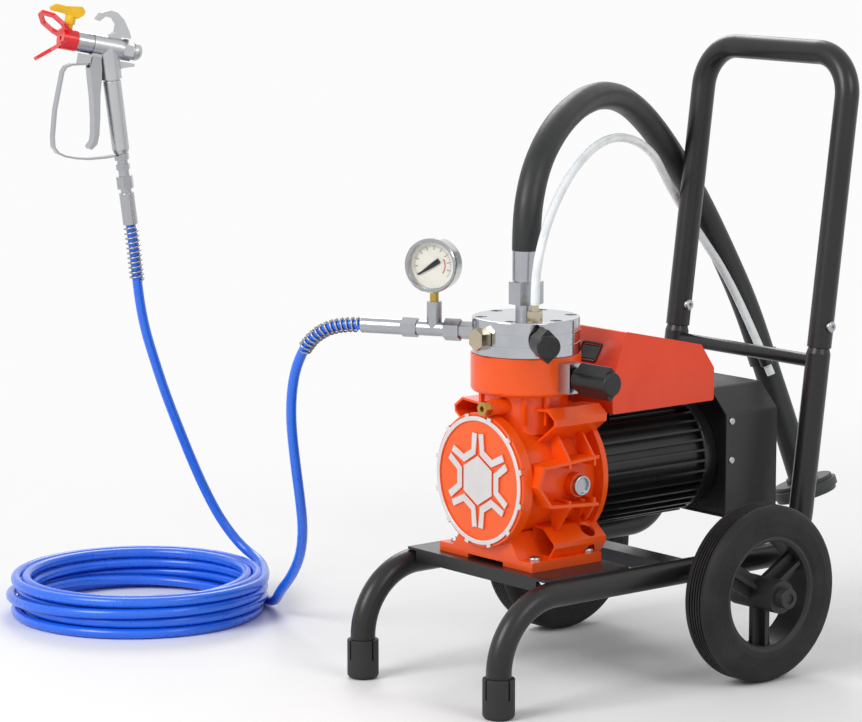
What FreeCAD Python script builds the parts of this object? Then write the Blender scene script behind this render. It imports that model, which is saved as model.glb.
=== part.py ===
import FreeCAD, Part
import math
import os
import re
from types import SimpleNamespace

import Sketcher
from FreeCAD import Placement, Rotation, Vector

# Airless paint sprayer on a two-wheeled cart, in millimetres.
# X runs across the cart, -Y is the pump's front, +Y is the handle's side, +Z is up.
# Every piece is drawn from the point on the floor under the middle of the wheel axle,
# and origin_x and origin_y then move the whole object to its own reference point.

SIZES = {
    "origin_x": 205.1,
    "origin_y": 123.35,
    "running_gap": 0.06,
    "fit_gap": 0.2,
    # cart frame
    "tube_radius": 14.0,
    "tube_wall": 1.8,
    "tube_spacing": 236.0,
    "rail_height": 124.5,
    "foot_y": -337.0,
    "front_bend": 78.0,
    "rear_bend": 50.0,
    "lean": 7.63,
    "upright_y": 140.1,
    "upright_top": 350.0,
    "neck_length": 46.0,
    "swage_length": 7.0,
    "handle_length": 335.0,
    "handle_corner": 50.0,
    "handle_bolt_rise": 32.0,
    "crossbar_radius": 7.75,
    "crossbar_drop": 9.5,
    "lug_thickness": 12.0,
    "lug_width": 26.0,
    "cap_radius": 17.7,
    "cap_height": 44.0,
    "cap_floor": 6.0,
    "cap_slit": 2.2,
    "deck_thickness": 3.0,
    "deck_front": -272.0,
    "deck_depth": 122.0,
    "deck_lip": 12.0,
    "deck_lip_width": 207.0,
    "rail_front": -84.0,
    "rail_depth": 30.0,
    "rail_drop": 4.0,
    "bolt_radius": 4.0,
    "bolt_length": 18.0,
    "bolt_head_radius": 6.5,
    "bolt_head_height": 4.2,
    "base_bolt_x": 67.0,
    "base_bolt_front": -243.0,
    "base_bolt_rear": -166.0,
    # wheels
    "wheel_radius": 100.0,
    "wheel_spacing": 341.4,
    "tyre_width": 43.0,
    "tread_groove": 2.0,
    "rim_radius": 65.4,
    "rim_width": 36.0,
    "rim_wall": 6.5,
    "hub_radius": 18.6,
    "hub_inner": 33.0,
    "hub_outer": 35.0,
    "spoke_width": 26.0,
    "spoke_web": 6.0,
    "spoke_rib": 5.0,
    "spoke_rib_width": 24.0,
    "axle_radius": 8.0,
    "axle_length": 424.0,
    "axle_cap_radius": 11.5,
    "axle_cap_length": 12.0,
    "axle_cap_gap": 0.6,
    # pump casting
    "base_width": 159.0,
    "base_front": -257.0,
    "base_depth": 101.0,
    "base_height": 10.5,
    "arch_height": 4.0,
    "arch_width": 60.0,
    "pump_axis": 233.8,
    "barrel_front": -266.0,
    "barrel_length": 119.0,
    "barrel_radius": 75.0,
    "lip_width": 14.0,
    "lip_step": 10.0,
    "crank_bore": 60.0,
    "crank_depth": 104.0,
    "flange_radius": 80.0,
    "flange_width": 7.0,
    "head_y": -199.0,
    "neck_radius": 47.0,
    "neck_bottom": 285.0,
    "cylinder_radius": 61.5,
    "cylinder_bottom": 328.0,
    "cylinder_top": 371.0,
    "chamber_radius": 30.0,
    "chamber_height": 5.0,
    "hood_front": -222.0,
    "left_hood_front": -238.0,
    "hood_rear": -147.0,
    "hood_wall": 2.6,
    "rib_width": 3.0,
    "rib_front_y": -208.0,
    "rib_rear_y": -172.0,
    "pocket_start": 56.0,
    "pocket_reach": 86.0,
    "pocket_wall": 3.5,
    "pocket_rear": -162.0,
    "pocket_low": 206.0,
    "pocket_tall": 57.0,
    "glass_y": -185.6,
    "glass_height": 230.0,
    "glass_radius": 8.5,
    "glass_collar": 11.5,
    "boss_radius": 13.5,
    "boss_reach": 76.0,
    "fill_x": 15.0,
    "fill_height": 316.5,
    "fill_boss_radius": 9.0,
    "fill_hexagon": 8.5,
    "fill_length": 9.0,
    # front cover
    "cover_radius": 71.5,
    "cover_thickness": 4.0,
    "cover_recess_gap": 0.3,
    "cover_spigot": 6.0,
    "ring_height": 2.5,
    "ring_band": 5.0,
    "tab_reach": 74.6,
    "tab_width": 6.0,
    "emblem_hexagon": 27.6,
    "emblem_height": 2.5,
    # drive
    "shaft_radius": 12.0,
    "shaft_front": -240.0,
    "shaft_length": 312.0,
    "eccentric_radius": 24.0,
    "eccentric_throw": 3.5,
    "eccentric_width": 30.0,
    "eccentric_angle": 135.0,
    "piston_radius": 14.4,
    "piston_foot": 18.0,
    "piston_foot_height": 9.0,
    "piston_rest": 261.6,
    "piston_top": 352.0,
    # head
    "head_radius": 60.0,
    "head_height": 40.0,
    "groove_depth": 0.9,
    "groove_width": 1.3,
    "diaphragm_radius": 40.0,
    "diaphragm_thickness": 2.0,
    "screw_circle": 50.5,
    "screw_head_radius": 6.4,
    "screw_head_height": 8.0,
    "screw_sink": 9.0,
    "screw_radius": 4.0,
    "screw_length": 52.0,
    "screw_relief": 2.0,
    "socket_radius": 3.6,
    # fittings on the head
    "suction_thread": 12.0,
    "suction_thread_length": 13.5,
    "suction_nut": 19.6,
    "suction_nut_height": 25.0,
    "suction_neck": 13.5,
    "suction_neck_length": 1.5,
    "suction_ferrule": 15.5,
    "suction_ferrule_length": 33.0,
    "suction_hose_radius": 16.0,
    "return_x": 44.0,
    "return_y": -224.0,
    "return_nut": 8.5,
    "return_nut_height": 12.0,
    "return_stem_length": 7.0,
    "return_stem": 4.2,
    "return_tube_radius": 5.0,
    "port_radius": 6.0,
    "port_depth": 12.0,
    "outlet_height": 391.0,
    "outlet_heading": 210.0,
    "adapter_hexagon": 10.0,
    "adapter_end": 77.0,
    "tee_nut": 12.5,
    "tee_nut_end": 95.0,
    "tee_body": 8.5,
    "tee_end_nut": 11.0,
    "tee_end_nut_start": 128.0,
    "tee_end": 146.0,
    "tee_branch_top": 422.0,
    "plug_hexagon": 12.5,
    "plug_length": 13.0,
    "prime_heading": -27.0,
    "prime_knob_start": 68.0,
    "prime_knob_length": 37.0,
    "knob_radius": 13.4,
    "knob_lobe": 18.5,
    "knob_stem": 5.0,
    "pressure_heading": 4.0,
    "pressure_height": 349.5,
    "pressure_block_width": 20.0,
    "pressure_block_height": 33.0,
    "pressure_block_end": 78.0,
    "pressure_knob_end": 135.0,
    # gauge
    "gauge_place": 108.5,
    "gauge_height": 463.0,
    "gauge_radius": 30.0,
    "gauge_depth": 24.0,
    "gauge_heading": 300.0,
    "gauge_stem": 5.0,
    "dial_radius": 26.0,
    "dial_depth": 7.0,
    "lens_thickness": 2.0,
    "needle_angle": -56.0,
    # motor
    "motor_inner": 55.0,
    "motor_shell": 58.0,
    "motor_fin_reach": 68.5,
    "motor_fins": 36,
    "motor_fin_width": 2.6,
    "motor_front": -147.0,
    "fin_front": -137.0,
    "motor_rear": 14.0,
    "bell_radius": 66.0,
    "bell_rear": 46.0,
    "bell_plate": 8.0,
    "saddle_half_width": 34.0,
    "stator_front": -110.0,
    "stator_length": 90.0,
    "stator_inner": 34.0,
    "rotor_radius": 33.0,
    "rotor_overhang": 3.0,
    "fan_front": 52.0,
    "fan_length": 18.0,
    "fan_hub": 20.0,
    "fan_radius": 52.0,
    "fan_blade": 3.0,
    "shroud_front": 33.0,
    "shroud_depth": 80.0,
    "shroud_wall": 1.6,
    "shroud_corner": 6.0,
    "mount_corner": 4.4,
    "shroud_plate": 10.0,
    "slot_width": 5.0,
    "shroud_screw_y": 41.0,
    # control box
    "box_half_width": 72.0,
    "box_bottom": 302.6,
    "box_taper": 13.2,
    "box_taper_height": 340.0,
    "rocker_x": 16.0,
    "rocker_y": -119.0,
    "rocker_z": 365.0,
    "rocker_width": 25.0,
    "rocker_height": 15.0,
    "rocker_depth": 6.0,
    "rocker_barrel": 4.0,
    "rocker_sink": 5.0,
    "rocker_play": 1.2,
    "rocker_gap": 0.3,
    "rocker_pin": 1.8,
    "cheek_width": 5.0,
    "cheek_depth": 9.0,
    "rocker_tilt": 60.0,
    # high-pressure hose
    "blue_radius": 6.0,
    "ferrule_radius": 9.0,
    "pump_ferrule_end": 195.5,
    "coil_radius": 156.0,
    "coil_x": -550.9,
    "coil_y": -342.3,
    "coil_floor": 6.2,
    "coil_pitch": 12.8,
    "coil_layer": 12.8,
    "coil_start": 70.84,
    "coil_turns": 8.97,
    "coil_lead": 12.0,
    "guard_wire": 1.2,
    "guard_radius": 8.0,
    # spray gun
    "gun_x": -588.5,
    "gun_y": -353.3,
    "gun_z": 684.1,
    "gun_heading": 256.0,
    "gun_tilt": 11.5,
    "handle_slant": 18.53,
    "body_radius": 12.5,
    "body_rear": -14.5,
    "body_front": 20.0,
    "cap_space_radius": 13.1,
    "nose_radius": 9.0,
    "nose_end": 41.0,
    "hook_width": 9.0,
    "collar_radius": 12.5,
    "grip_start": 39.0,
    "grip_end": 129.0,
    "grip_radius": 10.8,
    "swivel_end": 177.0,
    "gun_ferrule_end": 216.33,
    "guard_nut_radius": 12.3,
    "tip_guard_radius": 13.0,
    "tip_guard_end": 60.0,
    "tip_key_x": 52.0,
    "tip_key_radius": 4.5,
    "tip_key_bottom": -12.0,
    "tip_key_top": 28.0,
    "tip_key_thickness": 6.0,
    "wing_start": 54.5,
    "wing_thickness": 4.0,
    "wing_roll": 17.0,
    "pivot_x": 12.0,
    "pivot_z": -20.5,
    "pin_radius": 2.0,
    "trigger_width": 17.0,
    "trigger_wall": 1.6,
    "strap_width": 12.0,
}

# Corner points of the plates and castings with an irregular outline.
PROFILES = {
    "pedestal": ((-79.5, 152.0), (-56.0, 152.0), (-38.0, 178.0), (38.0, 178.0), (56.0, 152.0), (79.5, 152.0)),
    "upper_hood": ((10.4, 298), (34.5, 314), (63.5, 316), (77.2, 306), (76, 298), (43.4, 274)),
    "lower_hood": ((38, 186), (58, 184), (77, 169), (77, 163), (68, 150), (46, 152)),
    "side_pocket": ((-246, 258), (-255, 236), (-236, 211), (-162, 206), (-162, 263)),
    "emblem_bracket": ((27, -11), (46, -25), (50.5, -18.5), (35, -7.8), (35, 7.8), (50.5, 18.5), (46, 25), (27, 11)),
    "shroud": ((-80, 166), (80, 166), (80, 285), (52, 313), (-52, 313), (-80, 285)),
    "control": ((-134, 302.6), (-134, 339), (-104, 391), (6, 367), (20, 340), (20, 302.6)),
    "control_cavity": ((-131, 300), (-131, 338), (-102.5, 387.5), (4, 364), (17, 338), (17, 300)),
    "pocket_rib_upper": ((56, 290), (66, 285), (86, 260), (86, 252), (56, 252)),
    "pocket_rib_lower": ((56, 216), (86, 216), (86, 208), (66, 181), (56, 176)),
    "tip_flag": (
        (37, 31), (43, 26), (48.3, 25), (59.8, 29), (77.7, 30), (80, 34), (72.4, 39), (60, 38.2), (50.9, 39.6),
        (40.4, 41), (35.5, 36)),
    "tip_wing": ((0, -15), (12, -20), (29, -20), (41, -5), (41, 5), (29, 20), (12, 20), (0, 15)),
    "tip_wing_window": ((10, -11), (14, -14), (27, -14), (35, -4), (35, 4), (27, 14), (14, 14), (10, 11)),
    "gun_hook": (
        (6, 8), (-13.6, 8), (-13.6, 14), (-27, 14), (-23, 22), (-14, 34.6), (-4.5, 41.7), (5, 43), (16.5, 38),
        (21.2, 29.5), (16.2, 28), (10, 35), (0.3, 34.2), (-5.5, 28), (-5.7, 19), (1, 14)),
    "gun_fin": ((-8, -20), (-17, -14.4), (-37, -14.4), (-37.4, -17.6), (-26, -21.2), (-12, -27)),
    "trigger": (
        (8.5, -14), (18.5, -15), (19.5, -29), (16, -41), (9.5, -62), (3, -88), (-0.3, -106), (-0.6, -114), (3, -121.5),
        (0, -125), (-6, -117), (-6.5, -105), (-4, -86), (1, -58), (2.6, -40), (5, -26)),
    "trigger_channel": (
        (-8, -10), (26, -10), (26, -26.8), (17.9, -29.5), (14.4, -41), (7.9, -62), (1.4, -88), (-1.9, -106), (-2.2, -113),
        (-9, -115), (-13, -112), (-9, -60), (-5, -30)),
    "guard_strap": (
        (22, -23.4), (42, -27.6), (49, -31.6), (52, -38.8), (52.8, -84.8), (49.6, -117.9), (46.6, -129.5), (39.5, -136.2),
        (30, -138.6), (16, -138.8), (-0.7, -137), (-21.5, -131.8), (-33, -128), (-32.3, -125.7), (-21, -129.4),
        (-0.4, -134.6), (16.2, -136.4), (29.6, -136.2), (38.4, -134), (44.4, -128.3), (47.2, -117.5), (50.4, -84.8),
        (49.6, -39.4), (47.2, -33.4), (41, -29.8), (22, -25.8)),
}

doc = FreeCAD.newDocument("airless_paint_sprayer")
sheet = doc.addObject("Spreadsheet::Sheet", "Sizes")
numbers = dict(SIZES)
for profile_name, corner_points in PROFILES.items():
    for index, (across, up) in enumerate(corner_points):
        numbers["%s_across_%d" % (profile_name, index)] = across
        numbers["%s_up_%d" % (profile_name, index)] = up
for row, (alias, value) in enumerate(numbers.items(), start=1):
    sheet.set("A%d" % row, alias)
    sheet.set("B%d" % row, str(value))
    sheet.setAlias("B%d" % row, alias)
doc.recompute()
v = SimpleNamespace(**{alias: float(sheet.get(alias)) for alias in numbers})

nodes = []
TO_X = Rotation(Vector(0, 1, 0), 90)
TO_LEFT = Rotation(Vector(0, 1, 0), -90)
TO_Y = Rotation(Vector(1, 0, 0), -90)
TO_FRONT = Rotation(Vector(1, 0, 0), 90)
ALONG_X = Rotation(Vector(1, 1, 1), 120)
NO_TURN = Rotation()
HERE = ("0", "0", "0")


def bind(words):
    """Turn an expression in plain size names into one on the sheet."""
    return re.sub(r"[a-z]\w+", lambda m: "Sizes." + m.group() if m.group() in numbers else m.group(), words)


def number(words):
    """The present value of an expression, read through a spare cell of the sheet."""
    sheet.set("D1", "=" + words)
    doc.recompute([sheet])
    return float(sheet.get("D1"))


def put(item, at=HERE, turn=NO_TURN):
    """Place an object: its base is bound to the sheet."""
    item.Placement = Placement(Vector(0, 0, 0), turn)
    for axis, words in zip("xyz", at):
        item.setExpression(".Placement.Base." + axis, bind(words))
    return item


def node(label, item, at=HERE, turn=NO_TURN):
    """Register a finished sub-part and move it to the object's own origin."""
    item.Label = label
    put(item, ("origin_x + " + at[0], "origin_y + " + at[1], at[2]), turn)
    nodes.append(item)
    return item


def heading(angle):
    """A turn that lays Z down and points it along a compass angle from X."""
    return Rotation(Vector(0, 0, 1), angle) * TO_X


def along(direction):
    return Rotation(Vector(0, 0, 1), direction)


def cylinder(name, radius, height, at=HERE, turn=NO_TURN):
    item = doc.addObject("Part::Cylinder", name)
    item.setExpression("Radius", bind(radius))
    item.setExpression("Height", bind(height))
    return put(item, at, turn)


def cone(name, lower, upper, height, at=HERE, turn=NO_TURN):
    item = doc.addObject("Part::Cone", name)
    item.setExpression("Radius1", bind(lower))
    item.setExpression("Radius2", bind(upper))
    item.setExpression("Height", bind(height))
    return put(item, at, turn)


def box(name, length, width, height, at=HERE, turn=NO_TURN):
    item = doc.addObject("Part::Box", name)
    item.setExpression("Length", bind(length))
    item.setExpression("Width", bind(width))
    item.setExpression("Height", bind(height))
    return put(item, at, turn)


def hexagon(name, radius, height, at=HERE, turn=NO_TURN):
    item = doc.addObject("Part::Prism", name)
    item.Polygon = 6
    item.setExpression("Circumradius", bind(radius))
    item.setExpression("Height", bind(height))
    return put(item, at, turn)


def fuse(name, items):
    if len(items) == 1:
        return items[0]
    item = doc.addObject("Part::MultiFuse", name)
    item.Shapes = items
    return item


def cut(name, base, tools):
    item = doc.addObject("Part::Cut", name)
    item.Base = base
    item.Tool = fuse(name + "_tools", tools)
    return item


def group(name, items):
    item = doc.addObject("Part::Compound", name)
    item.Links = items
    return item


def new_sketch(body, name, role):
    sketch = body.newObject("Sketcher::SketchObject", name)
    plane = next(item for item in body.Origin.OriginFeatures if item.Role == role)
    sketch.AttachmentSupport = (plane, [""])
    sketch.MapMode = "FlatFace"
    return sketch


def apply_rules(sketch, rules):
    for kind, arguments, words in rules:
        index = sketch.addConstraint(Sketcher.Constraint(kind, *arguments))
        if words is not None:
            sketch.setExpression("Constraints[%d]" % index, bind(words))


def pin(sketch, place, across, up):
    """Hold a point at two bound distances from the sketch's origin."""
    point = sketch.getPoint(*place)
    rules = []
    for kind, words, value, axis in (("DistanceX", across, point.x, -2), ("DistanceY", up, point.y, -1)):
        if words == "0":
            rules.append(("PointOnObject", (*place, axis), None))
        else:
            rules.append((kind, (-1, 1, *place, value), words))
    apply_rules(sketch, rules)


def angle_to(centre, point):
    return math.atan2(point.y - centre.y, point.x - centre.x)


def outline(body, name, role, corners):
    """A closed outline of lines whose corners are bound to the sheet and may be rounded."""
    sketch = new_sketch(body, name, role)
    points = [Vector(number(corner[0]), number(corner[1]), 0) for corner in corners]
    count = len(points)
    enter = list(points)
    leave = list(points)
    arcs = {}
    for index, corner in enumerate(corners):
        if len(corner) < 3:
            continue
        before = (points[index - 1] - points[index]).normalize()
        after = (points[(index + 1) % count] - points[index]).normalize()
        half = before.getAngle(after) / 2
        radius = number(corner[2])
        enter[index] = points[index] + before * (radius / math.tan(half))
        leave[index] = points[index] + after * (radius / math.tan(half))
        centre = points[index] + (before + after).normalize() * (radius / math.sin(half))
        arcs[index] = (centre, radius, after.cross(before).z > 0)
    lines = [
        sketch.addGeometry(Part.LineSegment(leave[index], enter[(index + 1) % count]), False)
        for index in range(count)]
    for index, corner in enumerate(corners):
        before = lines[index - 1]
        after = lines[index]
        if index not in arcs:
            apply_rules(sketch, [("Coincident", (before, 2, after, 1), None)])
            pin(sketch, (after, 1), corner[0], corner[1])
            continue
        centre, radius, left_turn = arcs[index]
        first, last = (enter[index], leave[index]) if left_turn else (leave[index], enter[index])
        start = angle_to(centre, first)
        end = angle_to(centre, last)
        if end < start:
            end += 2 * math.pi
        circle = Part.Circle(centre, Vector(0, 0, 1), radius)
        arc = sketch.addGeometry(Part.ArcOfCircle(circle, start, end), False)
        mark = sketch.addGeometry(Part.Point(points[index]), True)
        pin(sketch, (mark, 1), corner[0], corner[1])
        apply_rules(sketch, [
            ("PointOnObject", (mark, 1, before), None),
            ("PointOnObject", (mark, 1, after), None),
            ("Tangent", (before, 2, arc, 1 if left_turn else 2), None),
            ("Tangent", (arc, 2 if left_turn else 1, after, 1), None),
            ("Radius", (arc, radius), corner[2]),
        ])
    return sketch


def turned(name, corners):
    """A body of revolution about Z: corners are radius and height."""
    body = doc.addObject("PartDesign::Body", name)
    sketch = outline(body, name + "_profile", "XZ_Plane", corners)
    spin = body.newObject("PartDesign::Revolution", name + "_turn")
    spin.Profile = sketch
    spin.ReferenceAxis = (sketch, ["V_Axis"])
    spin.Angle = 360.0
    return body


def slab(name, corners, thickness):
    """A plate raised from a bound outline in its XY plane."""
    body = doc.addObject("PartDesign::Body", name)
    sketch = outline(body, name + "_outline", "XY_Plane", corners)
    pad = body.newObject("PartDesign::Pad", name + "_pad")
    pad.Profile = sketch
    pad.setExpression("Length", bind(thickness))
    return body


def profile(name, rounding=None, mirrored=False):
    """The corner words of a named profile, all rounded alike and mirrored if asked."""
    sign = "-" if mirrored else ""
    count = len(PROFILES[name])
    words = [(sign + "%s_across_%d" % (name, index), "%s_up_%d" % (name, index)) for index in range(count)]
    return [(*pair, rounding) for pair in words] if rounding else words


def hollow(body, name, wall, towards):
    """Turn a body into a shell, open on the side that faces a direction."""
    doc.recompute()
    tip = body.Tip
    faces = tip.Shape.Faces
    best = max(range(len(faces)), key=lambda index: faces[index].CenterOfMass.dot(towards))
    shell = body.newObject("PartDesign::Thickness", name)
    shell.Base = (tip, ["Face%d" % (best + 1)])
    shell.setExpression("Value", bind(wall))
    shell.Reversed = True
    return body


def ring_profile(body, name, centre_x, outer, inner):
    """Two circles on the XY plane for a tube's wall, centred on the X axis."""
    sketch = new_sketch(body, name, "XY_Plane")
    for radius in (outer, inner):
        centre = Vector(number(centre_x), 0, 0)
        circle = sketch.addGeometry(Part.Circle(centre, Vector(0, 0, 1), number(radius)), False)
        apply_rules(sketch, [("Radius", (circle, number(radius)), radius)])
        pin(sketch, (circle, 3), centre_x, "0")
    return sketch


def swept_tube(body, name, path, ring):
    pipe = body.newObject("PartDesign::AdditivePipe", name)
    pipe.Profile = (ring, [""])
    pipe.Spine = (path, [""])
    return pipe


# Cart frame

BOLT_Y = "upright_y + handle_bolt_rise * sin(lean)"
BOLT_Z = "upright_top + handle_bolt_rise * cos(lean)"
LEANING = Rotation(Vector(1, 0, 0), -v.lean)


def side_tube(side, place):
    """Foot leg, floor rail and leaning upright bent from one tube, with a swaged neck."""
    body = doc.addObject("PartDesign::Body", side + "_bent_tube")
    path = new_sketch(body, side + "_tube_path", "YZ_Plane")
    rise = v.rail_height - v.cap_floor
    slope = math.radians(v.lean)
    reach = v.upright_y - v.foot_y
    top = v.upright_top - v.cap_floor
    turn = math.pi / 2 - slope
    corner = reach - (top - rise) * math.tan(slope)
    centre = Vector(corner - v.rear_bend * math.tan(turn / 2), rise + v.rear_bend, 0)
    leave = centre + Vector(math.sin(turn), -math.cos(turn), 0) * v.rear_bend
    leg = path.addGeometry(Part.LineSegment(Vector(0, 0, 0), Vector(0, rise - v.front_bend, 0)), False)
    circle = Part.Circle(Vector(v.front_bend, rise - v.front_bend, 0), Vector(0, 0, 1), v.front_bend)
    front = path.addGeometry(Part.ArcOfCircle(circle, math.pi / 2, math.pi), False)
    rail = path.addGeometry(Part.LineSegment(Vector(v.front_bend, rise, 0), Vector(centre.x, rise, 0)), False)
    circle = Part.Circle(centre, Vector(0, 0, 1), v.rear_bend)
    rear = path.addGeometry(Part.ArcOfCircle(circle, -math.pi / 2, turn - math.pi / 2), False)
    upright = path.addGeometry(Part.LineSegment(leave, Vector(reach, top, 0)), False)
    apply_rules(path, [
        ("Coincident", (leg, 1, -1, 1), None),
        ("Vertical", (leg,), None),
        ("Tangent", (leg, 2, front, 2), None),
        ("Tangent", (front, 1, rail, 1), None),
        ("Horizontal", (rail,), None),
        ("Tangent", (rail, 2, rear, 1), None),
        ("Tangent", (rear, 2, upright, 1), None),
        ("Radius", (front, v.front_bend), "front_bend"),
        ("Radius", (rear, v.rear_bend), "rear_bend"),
        ("DistanceY", (-1, 1, rail, 1, rise), "rail_height - cap_floor"),
        ("Angle", (upright, turn), "90 - lean"),
    ])
    pin(path, (upright, 2), "upright_y - foot_y", "upright_top - cap_floor")
    ring = ring_profile(body, side + "_tube_ring", "0", "tube_radius", "tube_radius - tube_wall")
    swept_tube(body, side + "_tube_sweep", path, ring)
    put(body, ("0", "foot_y", "cap_floor"))
    top_at = ("0", "upright_y", "upright_top")
    neck_radius = "tube_radius - tube_wall - fit_gap"
    neck_height = "swage_length + neck_length"
    swage = cone(side + "_swage", "tube_radius", neck_radius, "swage_length", top_at, LEANING)
    neck = cylinder(side + "_neck", neck_radius, neck_height, top_at, LEANING)
    bore = cylinder(side + "_neck_bore", neck_radius + " - tube_wall", neck_height, top_at, LEANING)
    hole = cylinder(side + "_neck_hole", "bolt_radius + fit_gap", "tube_radius", ("0", BOLT_Y, BOLT_Z), TO_X)
    top_piece = cut(side + "_top", fuse(side + "_top_blank", [swage, neck]), [bore, hole])
    lug = box(
        side + "_lug_plate", "lug_thickness", "lug_width", "lug_width",
        ("-lug_thickness / 2", "-lug_width / 2", "wheel_radius - lug_width / 2"))
    axle_hole = cylinder(
        side + "_lug_hole", "axle_radius", "lug_thickness", ("-lug_thickness / 2", "0", "wheel_radius"), TO_X)
    inside = cylinder(
        side + "_rail_inside", "tube_radius - tube_wall", "lug_width", ("0", "-lug_width / 2", "rail_height"), TO_Y)
    tube = fuse("side_tube_" + side, [body, top_piece, cut(side + "_lug", lug, [axle_hole, inside])])
    node("side_tube_" + side, tube, (place, "0", "0"))


def push_handle():
    """A U of tube that slips over the two necks."""
    body = doc.addObject("PartDesign::Body", "handle_tube")
    path = new_sketch(body, "handle_path", "XZ_Plane")
    half = v.tube_spacing / 2
    tall = v.handle_length
    bend = v.handle_corner
    left = path.addGeometry(Part.LineSegment(Vector(-half, 0, 0), Vector(-half, tall - bend, 0)), False)
    circle = Part.Circle(Vector(bend - half, tall - bend, 0), Vector(0, 0, 1), bend)
    left_bend = path.addGeometry(Part.ArcOfCircle(circle, math.pi / 2, math.pi), False)
    bar = path.addGeometry(Part.LineSegment(Vector(bend - half, tall, 0), Vector(half - bend, tall, 0)), False)
    circle = Part.Circle(Vector(half - bend, tall - bend, 0), Vector(0, 0, 1), bend)
    right_bend = path.addGeometry(Part.ArcOfCircle(circle, 0, math.pi / 2), False)
    right = path.addGeometry(Part.LineSegment(Vector(half, tall - bend, 0), Vector(half, 0, 0)), False)
    apply_rules(path, [
        ("Vertical", (left,), None),
        ("Tangent", (left, 2, left_bend, 2), None),
        ("Tangent", (left_bend, 1, bar, 1), None),
        ("Horizontal", (bar,), None),
        ("Tangent", (bar, 2, right_bend, 2), None),
        ("Tangent", (right_bend, 1, right, 1), None),
        ("Vertical", (right,), None),
        ("DistanceY", (-1, 1, bar, 1, tall), "handle_length"),
        ("Radius", (left_bend, bend), "handle_corner"),
        ("Radius", (right_bend, bend), "handle_corner"),
    ])
    pin(path, (left, 1), "-tube_spacing / 2", "0")
    pin(path, (right, 2), "tube_spacing / 2", "0")
    ring = ring_profile(body, "handle_ring", "-tube_spacing / 2", "tube_radius", "tube_radius - tube_wall")
    swept_tube(body, "handle_sweep", path, ring)
    put(body, ("0", "upright_y + swage_length * sin(lean)", "upright_top + swage_length * cos(lean)"), LEANING)
    holes = [
        cylinder(side + "_handle_hole", "bolt_radius + fit_gap", "tube_radius * 1.1", (x, BOLT_Y, BOLT_Z), TO_X)
        for side, x in (("left", "-tube_spacing / 2"), ("right", "tube_spacing / 2"))]
    node("push_handle", cut("handle_drilled", body, holes))


def bolt(name, length, at, turn):
    """A pan-headed bolt whose head stands on the plane of its placing point."""
    body = turned(name, [
        ("0", "-" + length),
        ("bolt_radius", "-" + length),
        ("bolt_radius", "0"),
        ("bolt_head_radius", "0"),
        ("bolt_head_radius", "bolt_head_height", "bolt_head_height * 0.7"),
        ("bolt_radius * 0.6", "bolt_head_height"),
        ("bolt_radius * 0.6", "bolt_head_height * 0.45"),
        ("0", "bolt_head_height * 0.45")])
    return put(body, at, turn)


def frame_bolts():
    """Two bolts through the handle's legs and four that hold the pump to the deck."""
    places = [
        (("-tube_spacing / 2 + tube_radius", BOLT_Y, BOLT_Z), TO_X),
        (("tube_spacing / 2 + tube_radius", BOLT_Y, BOLT_Z), TO_X)]
    for x in ("-base_bolt_x", "base_bolt_x"):
        for y in ("base_bolt_front", "base_bolt_rear"):
            places.append(((x, y, "rail_height + tube_radius + deck_thickness + base_height"), NO_TURN))
    bolts = [bolt("frame_bolt_%d" % index, "bolt_length", at, turn) for index, (at, turn) in enumerate(places)]
    node("frame_bolts", group("frame_bolts", bolts))


def foot_caps():
    """Two domed sockets on the ends of the legs; the mounting face is their underside."""
    caps = []
    for side, x in (("left", "-tube_spacing / 2"), ("right", "tube_spacing / 2")):
        cup = turned(side + "_cap_cup", [
            ("0", "0"),
            ("cap_radius", "0", "cap_floor - 1"),
            ("cap_radius", "cap_height", "1"),
            ("tube_radius", "cap_height"),
            ("tube_radius", "cap_floor"),
            ("0", "cap_floor")])
        slits = []
        for name, length, width, x_start, y_start in (
                ("across", "2 * cap_radius", "cap_slit", "-cap_radius", "-cap_slit / 2"),
                ("deep", "cap_slit", "2 * cap_radius", "-cap_slit / 2", "-cap_radius")):
            slits.append(box(
                side + "_slit_" + name, length, width, "cap_height / 2", (x_start, y_start, "cap_height / 2")))
        caps.append(put(cut(side + "_cap", cup, slits), (x, "foot_y", "0")))
    node("foot_caps", group("foot_caps", caps))


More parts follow.
